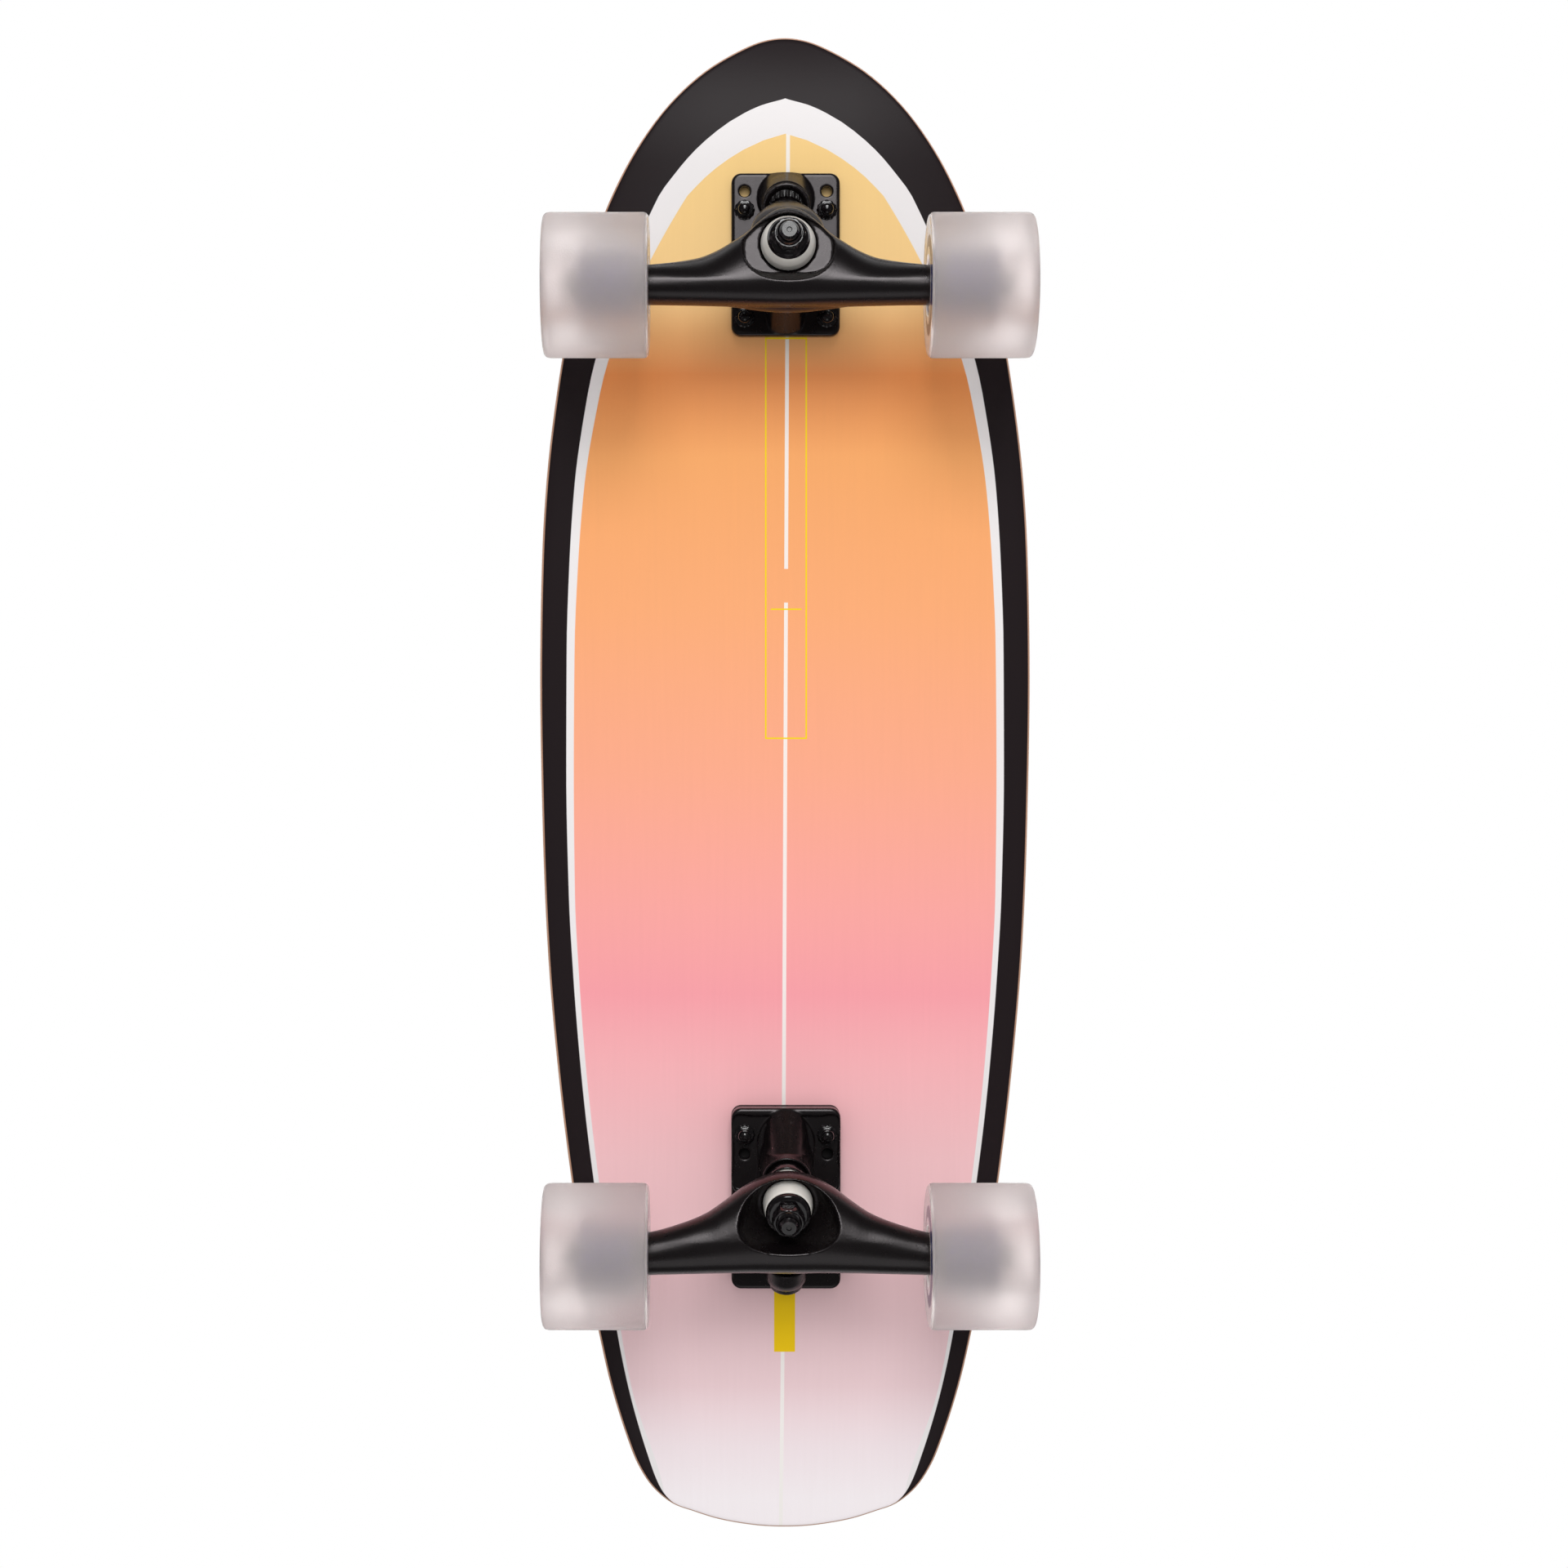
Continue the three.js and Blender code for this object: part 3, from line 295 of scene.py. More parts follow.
def above(tree, value, level, soft):
    """Nought below a level and one above it, over a soft step."""
    step = maths(tree, "DIVIDE", maths(tree, "SUBTRACT", value, level), soft)
    return maths(tree, "ADD", step, 0.5, clamp=True)


def below(tree, value, level, soft):
    """One below a level and nought above it, over a soft step."""
    return above(tree, maths(tree, "MULTIPLY", value, -1.0), -level, soft)


def blend_colours(tree, share, first, second):
    """Two colours mixed by a share."""
    made = add_node(tree, "ShaderNodeMix", {0: share, 6: first, 7: second}, data_type="RGBA")
    return made.outputs[2]


def speckle(tree, place, scale, detail=3.0):
    """Fine grey noise about one half."""
    made = add_node(tree, "ShaderNodeTexNoise", {"Vector": place, "Scale": scale, "Detail": detail})
    return made.outputs["Fac"]


def stretched(tree, place, scale):
    """A place scaled by an amount along each axis, for noise drawn out into fibres or rings."""
    return add_node(tree, "ShaderNodeMapping", {"Vector": place, "Scale": scale}).outputs[0]


def ramp(tree, value, stops, kind="LINEAR"):
    """A colour ramp through (place, colour) stops."""
    made = add_node(tree, "ShaderNodeValToRGB", {0: value})
    made.color_ramp.interpolation = kind
    while len(made.color_ramp.elements) < len(stops):
        made.color_ramp.elements.new(1.0)
    for element, (place, colour) in zip(made.color_ramp.elements, stops):
        element.position = place
        element.color = colour
    return made.outputs[0]


def new_paint(name, roughness, specular=0.5, metal=0.0):
    """A material with one Principled shader; returns it with its tree, its shader and its place output."""
    made = bpy.data.materials.new(name)
    made.use_nodes = True
    tree = made.node_tree
    tree.nodes.clear()
    finish = {"Roughness": roughness, "Metallic": metal, "Specular IOR Level": specular}
    shader = add_node(tree, "ShaderNodeBsdfPrincipled", finish)
    add_node(tree, "ShaderNodeOutputMaterial", {"Surface": shader.outputs[0]})
    place = add_node(tree, "ShaderNodeTexCoord").outputs["Object"]
    return made, tree, shader, place


def press_bump(tree, shader, height, distance, strength):
    """Height in the shader's normal."""
    bump = add_node(tree, "ShaderNodeBump", {"Height": height, "Distance": distance, "Strength": strength})
    tree.links.new(bump.outputs[0], shader.inputs["Normal"])


# Inner edges of the two printed bands, as (place along the board, distance from the middle)
black_band = [
    (-381, -1), (-380.2, 13.5), (-376.8, 32.3), (-372.2, 46.1), (-367.9, 56.2), (-358.9, 63.4), (-341, 69.8),
    (-306, 79.2), (-276.1, 85), (-178.9, 99.6), (-137.6, 104), (-96.2, 107.3), (-54.8, 109.6), (7.4, 110.9),
    (69.6, 110.7), (111.1, 109.4), (152.5, 106.7), (193.9, 100.8), (214.6, 96.4), (298, 64.1), (309.5, 55.8),
    (321, 45.9), (332.6, 32.7), (338.6, 23.8), (344.5, 11.8), (348, 0), (390, -90),
]
white_band = [
    (-381, 59), (-358.9, 62), (-306, 77.6), (-276.1, 83), (-178.9, 96.9), (-137.5, 101.3), (-96.1, 104.4),
    (-54.7, 106.5), (7.5, 107.1), (69.6, 106.7), (111.1, 105), (152.5, 101.7), (193.8, 94.8), (214.5, 89.8),
    (297.9, 49.8), (303.6, 44.5), (309.4, 38.5), (315.1, 31.2), (320.9, 22.3), (326.8, 9.7), (329, 0),
    (390, -90),
]
# The print's fade from nose to tail, as (place along the board, red, green, blue). The stop at 208 is darker
# and a deeper orange than the print on either side: painted shade under the front truck, over the print's own
# orange.
fade_and_painted_shade = [
    (318, 242, 204, 134), (250, 246, 206, 143), (208, 238, 148, 84), (166, 243, 167, 102),
    (88, 246, 169, 117), (6, 247, 168, 138), (-64, 247, 165, 160), (-105, 246, 160, 168),
    (-140, 248, 179, 184), (-190, 244, 196, 200), (-255, 238, 201, 205), (-303, 236, 207, 211),
    (-336, 241, 227, 231), (-365, 246, 239, 242),
]
ply_tones = [(0.0, 196, 152, 128), (0.14, 214, 176, 138), (0.28, 176, 128, 92), (0.42, 218, 182, 142),
             (0.57, 182, 136, 98), (0.71, 216, 178, 140), (0.86, 190, 146, 108)]
white_ink, black_ink, stripe_ink = srgb(232, 228, 228), srgb(34, 27, 29), srgb(240, 236, 232)
frame_ink, tab_ink = srgb(240, 206, 24), srgb(238, 198, 16)
streak_tone, fibre_tone = srgb(150, 110, 90), srgb(120, 84, 60)
ink_step, band_step = 0.2, 0.3
# The middle stripe leans a little, and has a gap between its two ends
stripe_half, stripe_slope, stripe_shift, stripe_ends = 0.95, 0.0044, -0.1, (93.0, 110.0)
# Rectangles as (back, front, right, left)
frame_box, frame_line = (24.1, 226.7, -10.3, 10.9), 0.8
divider_box = (89.2, 90.0, -7.4, 8.2)
tab_box = (-285.5, -252.0, -5.7, 4.9)
# The print ends a little way up the edge, where the sanded veneers begin
print_top, print_fade = 0.42, 0.12

printed, tree, shader, place = new_paint("printed_laminate", roughness=0.36, specular=0.1)
axes = add_node(tree, "ShaderNodeSeparateXYZ", {0: place})
x, y = axes.outputs[0], axes.outputs[1]
along = maths(tree, "DIVIDE", maths(tree, "SUBTRACT", half_length * MM, x), 2 * half_length * MM)
# The print's colour along the board, with the painted shade under the front truck
colour = ramp(tree, along, [((half_length - at) / (2 * half_length), srgb(*tone)) for at, *tone in fade_and_painted_shade])
streak = speckle(tree, stretched(tree, place, (2.0, 60.0, 2.0)), 9.0, 4.0)
colour = blend_colours(tree, maths(tree, "MULTIPLY", streak, 0.05), colour, streak_tone)


def within(tree, value, low, high):
    """One between two levels, in millimetres, and nought outside them."""
    return maths(tree, "MULTIPLY", above(tree, value, low * MM, ink_step * MM),
                 below(tree, value, high * MM, ink_step * MM))


def filled_box(tree, x, y, box, inset=0.0):
    """One inside a rectangle of the plan, less an inset, and nought outside it."""
    back, front, right, left = box
    return maths(tree, "MULTIPLY", within(tree, x, back + inset, front - inset),
                 within(tree, y, right + inset, left - inset))


stripe_middle = maths(tree, "MULTIPLY_ADD", x, stripe_slope, stripe_shift * MM)
off_stripe = maths(tree, "ABSOLUTE", maths(tree, "SUBTRACT", y, stripe_middle))
behind = below(tree, x, stripe_ends[0] * MM, ink_step * MM)
ahead = above(tree, x, stripe_ends[1] * MM, ink_step * MM)
stripe = maths(tree, "MULTIPLY", below(tree, off_stripe, stripe_half * MM, ink_step * MM),
               maths(tree, "MAXIMUM", ahead, behind))
colour = blend_colours(tree, maths(tree, "MULTIPLY", stripe, 0.9), colour, stripe_ink)
outline = maths(tree, "SUBTRACT", filled_box(tree, x, y, frame_box),
                filled_box(tree, x, y, frame_box, frame_line), clamp=True)
outline = maths(tree, "MAXIMUM", outline, filled_box(tree, x, y, divider_box))
colour = blend_colours(tree, outline, colour, frame_ink)
colour = blend_colours(tree, filled_box(tree, x, y, tab_box), colour, tab_ink)

# The mesh carries how far each point lies past the two bands' inner edges, and its height in the laminate
layout = add_node(tree, "ShaderNodeAttribute", attribute_name="layout")
past = add_node(tree, "ShaderNodeSeparateXYZ", {0: layout.outputs["Vector"]})
past_black, past_white, rise = (past.outputs[i] for i in range(3))
colour = blend_colours(tree, above(tree, past_white, 0.0, band_step), colour, white_ink)
colour = blend_colours(tree, above(tree, past_black, 0.0, band_step), colour, black_ink)
layer = maths(tree, "DIVIDE", rise, deck_thickness)
plies = ramp(tree, layer, [(at, srgb(*tone)) for at, *tone in ply_tones], "CONSTANT")
fibre = speckle(tree, stretched(tree, place, (3.0, 3.0, 160.0)), 14.0)
plies = blend_colours(tree, maths(tree, "MULTIPLY", fibre, 0.35), plies, fibre_tone)
colour = blend_colours(tree, above(tree, rise, print_top, print_fade), colour, plies)
tree.links.new(colour, shader.inputs["Base Color"])
press_bump(tree, shader, speckle(tree, place, 1500.0, 2.0), 0.00008, 0.25)

rim_round = round_edge(edge_round, 0.0, deck_thickness, steps=6)
deck_grid = pressed_sheet(rim_round[1:-1], 0.0, deck_thickness, edge_round, levels=40)
deck_piece = new_piece("deck_laminate", deck_grid, BY_ROWS, "board", "deck", [printed], 50)
at_x, at_y, at_z = point_table(deck_piece.data).T
measures = np.stack((np.abs(at_y) - through(at_x, black_band), np.abs(at_y) - through(at_x, white_band),
                     at_z - underside - pressed_height(at_x, at_y)), 1)
attribute = deck_piece.data.attributes.new("layout", "FLOAT_VECTOR", "POINT")
attribute.data.foreach_set("vector", measures.ravel())

# Grip tape

# A sheet of silicon carbide grit on a polyester backing, stuck to the deck's top and trimmed with a
# knife just inside its rounded edge.

grip_low, grip_high, grip_bevel = deck_thickness - 0.05, deck_thickness + 1.3, (0.4, 0.1)

grit, tree, shader, place = new_paint("black_grit", roughness=0.9, specular=0.35)
grains = add_node(tree, "ShaderNodeTexVoronoi", {"Vector": place, "Scale": 1300.0}).outputs["Distance"]
glint = above(tree, speckle(tree, place, 2200.0, 2.0), 0.66, 0.05)
colour = blend_colours(tree, grains, srgb(22, 22, 23), srgb(52, 52, 54))
colour = blend_colours(tree, maths(tree, "MULTIPLY", glint, 0.6), colour, srgb(96, 96, 98))
tree.links.new(colour, shader.inputs["Base Color"])
press_bump(tree, shader, grains, 0.0004, 0.8)

grip_edge = [(edge_round, grip_low), (edge_round, grip_high - grip_bevel[1])]
grip_grid = pressed_sheet(grip_edge, grip_low, grip_high, edge_round + grip_bevel[0], levels=26)
new_piece("grip_sheet", grip_grid, BY_ROWS, "board", "grip_tape", [grit], 40)

# Riser pad

# A hard rubber pad the shape of the rear baseplate. It lifts the rear truck and damps its rattle, and
# the four mounting bolts clamp it between the deck and the plate.

axle_x = {"front": 244.0, "rear": -225.0}
outward = {"front": 1.0, "rear": -1.0}
plate_ends = {"front": (-17.35, 64.65), "rear": (-64.7, 25.8)}
plate_half, plate_corner = 27.3, 5.0
riser_height = {"front": 0.0, "rear": 6.0}
# Rings of (inset, depth) from the deck to the plate
riser_rings = [(0.5, 0.1), (0.1, 0.5), (0.0, 1.0), (0.0, 5.0), (0.1, 5.6), (0.5, 6.0)]


def in_truck(grid, truck):
    """Points of (outward from the axle, across, down from the deck) in the board's frame."""
    sign = outward[truck]
    return np.stack((axle_x[truck] + sign * grid[..., 0], sign * grid[..., 1], underside - grid[..., 2]), -1)


def capped(grid):
    """A pile of rings closed at both ends by the middles of its first and its last ring."""
    middle = grid[[0, -1]].mean(axis=1, keepdims=True).repeat(grid.shape[1], axis=1)
    return np.concatenate((middle[:1], grid, middle[1:]))


def plate_grid(start, end, half, corner, rings):
    """A slab with round corners: one outline per ring of (inset, depth)."""
    a = np.linspace(0, math.pi / 2, 16)
    quarter = np.stack((np.cos(a), np.sin(a)), 1)
    corners = [quarter, quarter[::-1] * (-1, 1), -quarter, quarter[::-1] * (1, -1)]
    centres = np.array([(end - corner, half - corner), (start + corner, half - corner),
                        (start + corner, corner - half), (end - corner, corner - half)])
    rows = []
    for inset, depth in rings:
        loop = np.vstack([c + q * (corner - inset) for c, q in zip(centres, corners)])
        rows.append(np.column_stack((loop, np.full(len(loop), depth))))
    return capped(np.array(rows))


def rubber_paint(name, dark, light, roughness):
    """Moulded rubber: a little paler where it has bloomed, with a fine matt grain."""
    made, tree, shader, place = new_paint(name, roughness, specular=0.35)
    bloom = speckle(tree, place, 60.0, 4.0)
    tree.links.new(blend_colours(tree, bloom, dark, light), shader.inputs["Base Color"])
    press_bump(tree, shader, speckle(tree, place, 2500.0, 2.0), 0.00005, 0.4)
    return made


black_rubber = rubber_paint("black_rubber", srgb(17, 15, 16), srgb(34, 31, 32), 0.6)
pad_grid = plate_grid(*plate_ends["rear"], plate_half, plate_corner, riser_rings)
new_piece("riser_pad", in_truck(pad_grid, "rear"), BY_COLUMNS, "board", "rear_riser_pad",
          [black_rubber], 60)

# Baseplates

# Aluminium die castings with a satin black powder coat. Each plate carries a barrel for the pivot cup
# and a leaning boss that holds the kingpin, and is drilled with eight holes for two bolt patterns.

trucks = ("front", "rear")
plate_thick = 6.5
# What stands on a plate starts this far under its deck side
plate_root = 1.5
border = {"front": 0.3, "rear": 1.2}
# The bolts that are fitted, and how far the spare holes beside them stand from them
bolt_rows = {"front": (-8.1, 45.875), "rear": (-51.2, 2.775)}
bolt_half, bolt_spare, hole_radius = 20.64, 9.525, 2.75
# The hanger's ring on the kingpin, and the middle of the pivot's tip, as (outward, down)
ring_at = {"front": (20.2, 56.2), "rear": (-25.8, 49.5)}
pivot_at = {"front": (46.0, 13.5), "rear": (15.0, 20.5)}
kingpin_lean = {"front": 6.0, "rear": 20.0}
barrel_lean = {"front": -9.0, "rear": -52.0}
# The washer's seat lies along the kingpin from the ring
seat_along, seat_radius, boss_radius = -18.9, 10.9, 12.1
ramp_start = {"front": 7.8, "rear": 9.0}
cup_outer, barrel_lip = 8.8, 7.0
barrel_radius = {"front": 12.1, "rear": 10.9}
mouth_flare = {"front": 1.8, "rear": 0.8}
# A broad foot under the front barrel, as stations of (outward, down, half width, half depth, tilt)
front_foot = [(53.6, 1.5, 15.0, 15.0, 0), (52.3, 6.5, 14.0, 14.0, 0), (50.3, 10.5, 13.3, 13.3, 0),
              (48.0, 15.0, 12.6, 12.6, -4), (46.1, 18.4, 12.15, 12.15, -8)]
# A sunk field on each side of the rear plate, as (outward from the plate's inner end, across)
rear_field = [(4.0, 26.0), (3.9, 16.0), (4.1, 7.4), (6.6, 9.6), (10.0, 12.0), (15.0, 13.8), (36.0, 14.6),
              (41.0, 20.0), (40.0, 26.2), (22.0, 26.3)]
# Half width, reach and depth of the cutters that trim a plate all round
trim_half, trim_reach, trim_depth = 60, 30, 40
casting_grain = 0.445


def leaning(grid, truck, place, lean):
    """Points about local +Z, moved so that +Z runs down and outward by the lean, in the board's frame."""
    s, c = math.sin(math.radians(lean)), math.cos(math.radians(lean))
    x, y, z = grid[..., 0], grid[..., 1], grid[..., 2]
    return in_truck(np.stack((place[0] + x * c + z * s, y, place[1] + z * c - x * s), -1), truck)


def on_kingpin(grid, truck):
    """Points about local +Z, moved to the kingpin, where +Z runs to the road from the hanger's ring."""
    return leaning(grid, truck, ring_at[truck], kingpin_lean[truck])


def in_barrel(grid, truck):
    """Points about local +Z, moved to the pivot, where +Z runs out of the barrel's mouth."""
    return leaning(grid, truck, pivot_at[truck], barrel_lean[truck])


def at_bolt(grid, truck, row, depth, hand):
    """Points about local +Z, moved to a bolt's axis, where +Z runs down from a depth under the deck."""
    return leaning(grid, truck, (row, depth), 0.0) + (0, outward[truck] * hand * bolt_half, 0)


def full_turn(count):
    """Angles round a full turn."""
    return np.linspace(0, 2 * math.pi, count, endpoint=False)


def turned(profile, around=96, flats=None):
    """A profile of (radius, height) carried round the axis. Rows named in flats keep inside a hexagon of
    the given half width."""
    rows = np.asarray(profile, float)
    angle = full_turn(around)
    radius = np.repeat(rows[:, :1], around, axis=1)
    if flats:
        half, chosen = flats
        limit = half / np.cos((angle + math.pi / 6) % (math.pi / 3) - math.pi / 6)
        radius[chosen] = np.minimum(radius[chosen], limit)
    height = np.repeat(rows[:, 1:], around, axis=1)
    return np.stack((radius * np.cos(angle), radius * np.sin(angle), height), -1)


def solid_rod(radius, low, high, around=72):
    """A plain cylinder between two heights."""
    return turned([(0, low), (radius, low), (radius, high), (0, high)], around)


def rounded(points, radius, steps=4):
    """A polyline of (radius, height) with each inner corner cut back and rounded by a square-law curve."""
    points = np.asarray(points, float)
    out = [points[:1]]
    for before, at, after in zip(points[:-2], points[1:-1], points[2:]):
        back, on = before - at, after - at
        cut = min(radius, 0.45 * np.linalg.norm(back), 0.45 * np.linalg.norm(on))
        p0, p2 = at + back / np.linalg.norm(back) * cut, at + on / np.linalg.norm(on) * cut
        t = np.linspace(0, 1, steps)[:, None]
        out.append((1 - t) ** 2 * p0 + 2 * t * (1 - t) * at + t ** 2 * p2)
    return np.vstack(out + [points[-1:]])


def squared(wave, power):
    """A sine or cosine bent so that the ring it draws is a superellipse: two is round, more is squarer."""
    return np.sign(wave) * np.abs(wave) ** (2 / power)


def lofted(stations, power):
    """Closed rings joined along a path. A station is (u, w, half width, half depth, tilt): its ring is a
    superellipse square to the tilt."""
    rows = np.asarray(stations, float)[:, :, None]
    angle = full_turn(72)
    wide = squared(np.sin(angle), power) * rows[:, 2]
    deep = squared(np.cos(angle), power) * rows[:, 3]
    tilt = np.radians(rows[:, 4])
    return capped(np.stack((rows[:, 0] + deep * np.cos(tilt), wide, rows[:, 1] - deep * np.sin(tilt)), -1))


def loose_object(mesh):
    """An object that carries no piece, for joining or cutting."""
    made = bpy.data.objects.new(mesh.name, mesh)
    scene.collection.objects.link(made)
    return made


def as_shaped(shaped):
    """The object with its modifiers worked out."""
    bpy.context.view_layer.update()
    return shaped.evaluated_get(bpy.context.evaluated_depsgraph_get())


def cast(name, bodies, hollows, grain, passes):
    """Shells laid into one another, less the hollows, become one skin on a fine lattice, and its steps are
    smoothed away, which leaves the small fillets of a casting."""
    cutters = [loose_object(grid_mesh("hollow", grid, BY_COLUMNS)) for grid in hollows]
    joined = bmesh.new()
    used = list(cutters)
    for grid in bodies:
        body = loose_object(grid_mesh("shell", grid, BY_COLUMNS))
        used.append(body)
        for cutter in cutters:
            cut = body.modifiers.new("cut", "BOOLEAN")
            cut.operation = "DIFFERENCE"
            cut.solver = "MANIFOLD"
            cut.object = cutter
        ready = as_shaped(body)
        joined.from_mesh(ready.to_mesh())
        ready.to_mesh_clear()
    mesh = bpy.data.meshes.new(name)
    joined.to_mesh(mesh)
    joined.free()
    whole = loose_object(mesh)
    skin = whole.modifiers.new("skin", "REMESH")
    skin.mode = "VOXEL"
    skin.voxel_size = grain * MM
    smooth = whole.modifiers.new("smooth", "SMOOTH")
    smooth.factor = 0.5
    smooth.iterations = passes
    result = bpy.data.meshes.new_from_object(as_shaped(whole))
    for spare in used + [whole]:
        bpy.data.objects.remove(spare)
    return result


def powder_paint():
    """Satin black powder coat over a casting, with faint orange peel. Sharp edges are painted a touch paler
    as a painted highlight, and the reflections are tinted a little pink as a painted reflection of the deck.
    """
    made, tree, shader, place = new_paint("powder_coat", roughness=0.3)
    cloud = speckle(tree, place, 45.0, 4.0)
    # Painted highlight: the sharpest outer edges are blended towards a paler grey
    painted_edge_highlight = above(tree, add_node(tree, "ShaderNodeNewGeometry").outputs["Pointiness"], 0.56, 0.08)
    colour = blend_colours(tree, cloud, srgb(8, 5, 6), srgb(14, 10, 11))
    colour = blend_colours(tree, maths(tree, "MULTIPLY", painted_edge_highlight, 0.25), colour, srgb(60, 55, 56))
    tree.links.new(colour, shader.inputs["Base Color"])
    # Painted reflection: a pink tint on the coat's reflections stands in for the pink deck mirrored in it
    shader.inputs["Specular Tint"].default_value = (1.0, 0.93, 0.95, 1.0)
    rough = maths(tree, "MULTIPLY_ADD", speckle(tree, place, 260.0), 0.06, 0.25)
    tree.links.new(rough, shader.inputs["Roughness"])
    press_bump(tree, shader, speckle(tree, place, 900.0, 1.0), 0.00006, 0.35)
    return made


def plate_levels(truck):
    """Depths of a plate's deck side, its road side and the border raised on that."""
    top = riser_height[truck]
    face = top + plate_thick
    return top, face, face + border[truck]


def kingpin_boss(truck):
    """A round boss that flares into the plate, up to just past the washer's seat."""
    depth = ring_at[truck][1] - riser_height[truck] - plate_root
    foot = -depth / math.cos(math.radians(kingpin_lean[truck]))
    end = seat_along + 1.5
    return turned(rounded([(0, foot), (boss_radius + 2.2, foot), (boss_radius + 1.2, foot + 6),
                           (boss_radius, seat_along - 2.5), (boss_radius, end), (0, end)], 0.5))


def kingpin_ramp(truck):
    """Arched sections from the plate's inner end to the boss: their half width grows by a power law and
    their rise evenly, and two more sink into the boss."""
    top, face, brim = plate_levels(truck)
    inner = plate_ends[truck][0] + 1.2
    lean = math.radians(kingpin_lean[truck])
    seat_u = ring_at[truck][0] + seat_along * math.sin(lean)
    seat_w = ring_at[truck][1] + seat_along * math.cos(lean)
    rim_u, rim_w = seat_u - 11.0 * math.cos(lean), seat_w + 11.0 * math.sin(lean)
    share = np.linspace(0, 1, 14)
    half = ramp_start[truck] + (boss_radius - 0.4 - ramp_start[truck]) * share ** 0.8
    height = brim - face + 2.1 + (rim_w - brim - 0.4) * share
    rows = np.stack((inner + (rim_u - inner) * share, np.full_like(share, face - 2.0), half, height,
                     np.full_like(share, 90.0)), 1)
    sunk = (rows[-1] + (4, 0, 0.2, -1.5, 0), rows[-1] + (9, 0, 0.2, -3.5, 0))
    return lofted(np.vstack((rows, *sunk)), 2.2)


def pivot_barrel(truck):
    """A barrel with a domed bottom."""
    radius = barrel_radius[truck]
    dome = [(radius * math.cos(t), radius * math.sin(t)) for t in np.linspace(-math.pi / 2, 0, 16)]
    return turned(np.vstack((dome, rounded([(radius, 1.0), (radius, barrel_lip), (0, barrel_lip)], 0.5))))


def barrel_column(truck):
    """The upright column under the barrel, a little wider at its foot."""
    radius = barrel_radius[truck]
    height = pivot_at[truck][1] - riser_height[truck] - plate_root
    return turned(rounded([(0, 0), (radius + 1.0, 0), (radius, 4), (radius - 0.4, height), (0, height)], 0.8))


def plate_bodies(truck):
    """The slab and all that stands on it."""
    top, face, brim = plate_levels(truck)
    rings = [(0.3, top + 0.3), (0.0, top + 0.8), (0.0, brim - 1.4), (0.35, brim - 0.5), (1.3, brim)]
    slab = plate_grid(*plate_ends[truck], plate_half, plate_corner, rings)
    bodies = [in_truck(slab, truck), on_kingpin(kingpin_boss(truck), truck),
              in_truck(kingpin_ramp(truck), truck), in_barrel(pivot_barrel(truck), truck),
              leaning(barrel_column(truck), truck, (pivot_at[truck][0], top + plate_root), 0.0)]
    if truck == "front":
        bodies.append(in_truck(lofted(front_foot, 2.0), truck))
    return bodies


def plate_hollows(truck):
    """What is cut away: beyond the front end or in the rear fields, the cup's and the washer's seats, the
    bolt holes, and all that would stand above the plate's deck side."""
    top, face, brim = plate_levels(truck)
    start, end = plate_ends[truck]
    hollows = []
    if truck == "front":
        rings = [(0, -trim_depth), (0, trim_depth)]
        beyond = plate_grid(end + 0.02, end + trim_reach, trim_half, plate_corner, rings)
        hollows.append(in_truck(beyond, truck))
    else:
        for hand in (-1, 1):
            loop = smooth_loop(np.array(rear_field) + (start, 0), 6) * (1, hand)
            field = [np.column_stack((loop, np.full(len(loop), depth))) for depth in (brim + 3, face)]
            hollows.append(in_truck(capped(np.array(field)), truck))
    wall, flare = cup_outer + 0.2, cup_outer + mouth_flare[truck]
    cup_seat = turned([(0, -wall), (wall, -wall), (wall, barrel_lip - 1.9), (flare, barrel_lip), (flare, 16),
                       (0, 16)])
    washer_seat = solid_rod(seat_radius, seat_along, seat_along + 8, 96)
    hollows += [in_barrel(cup_seat, truck), on_kingpin(washer_seat, truck)]
    hole = solid_rod(hole_radius, -5, 40, 40)
    hollows += [at_bolt(hole, truck, row + spare, top, hand)
                for row in bolt_rows[truck] for spare in (0.0, bolt_spare) for hand in (-1, 1)]
    above_plate = plate_grid(start - trim_reach, end + trim_reach, trim_half, plate_corner,
                             [(0, -trim_depth), (0, top + 0.1)])
    return hollows + [in_truck(above_plate, truck)]


powder_coat = powder_paint()
for truck in trucks:
    name = f"{truck}_baseplate_casting"
    mesh = cast(name, plate_bodies(truck), plate_hollows(truck), casting_grain, passes=2)
    finish_piece(name, mesh, "board", f"{truck}_baseplate", [powder_coat], 70)

# Pivot cups

# Moulded black rubber cups, pressed into the barrels. The hanger's round tip turns in each, and the
# lip that stands out of the barrel has a crinkled rim.

cup_profile = [(0, -cup_outer), (cup_outer, -cup_outer), (cup_outer, 4.6), (8.9, 5.3), (8.5, 5.7), (7.9, 5.6),
               (7.35, 5.0), (7.3, 3.6), (7.2, -2.5), (4.6, -5.8), (0, -7.4)]
lip_start, lip_height, lip_reach = 4.2, 1.2, 8.7
crinkles, crinkle_share, crinkle_rise = 18, 0.035, 0.35
# The neck presses the front cup's lip in on the nose side
squeeze_share = 0.33

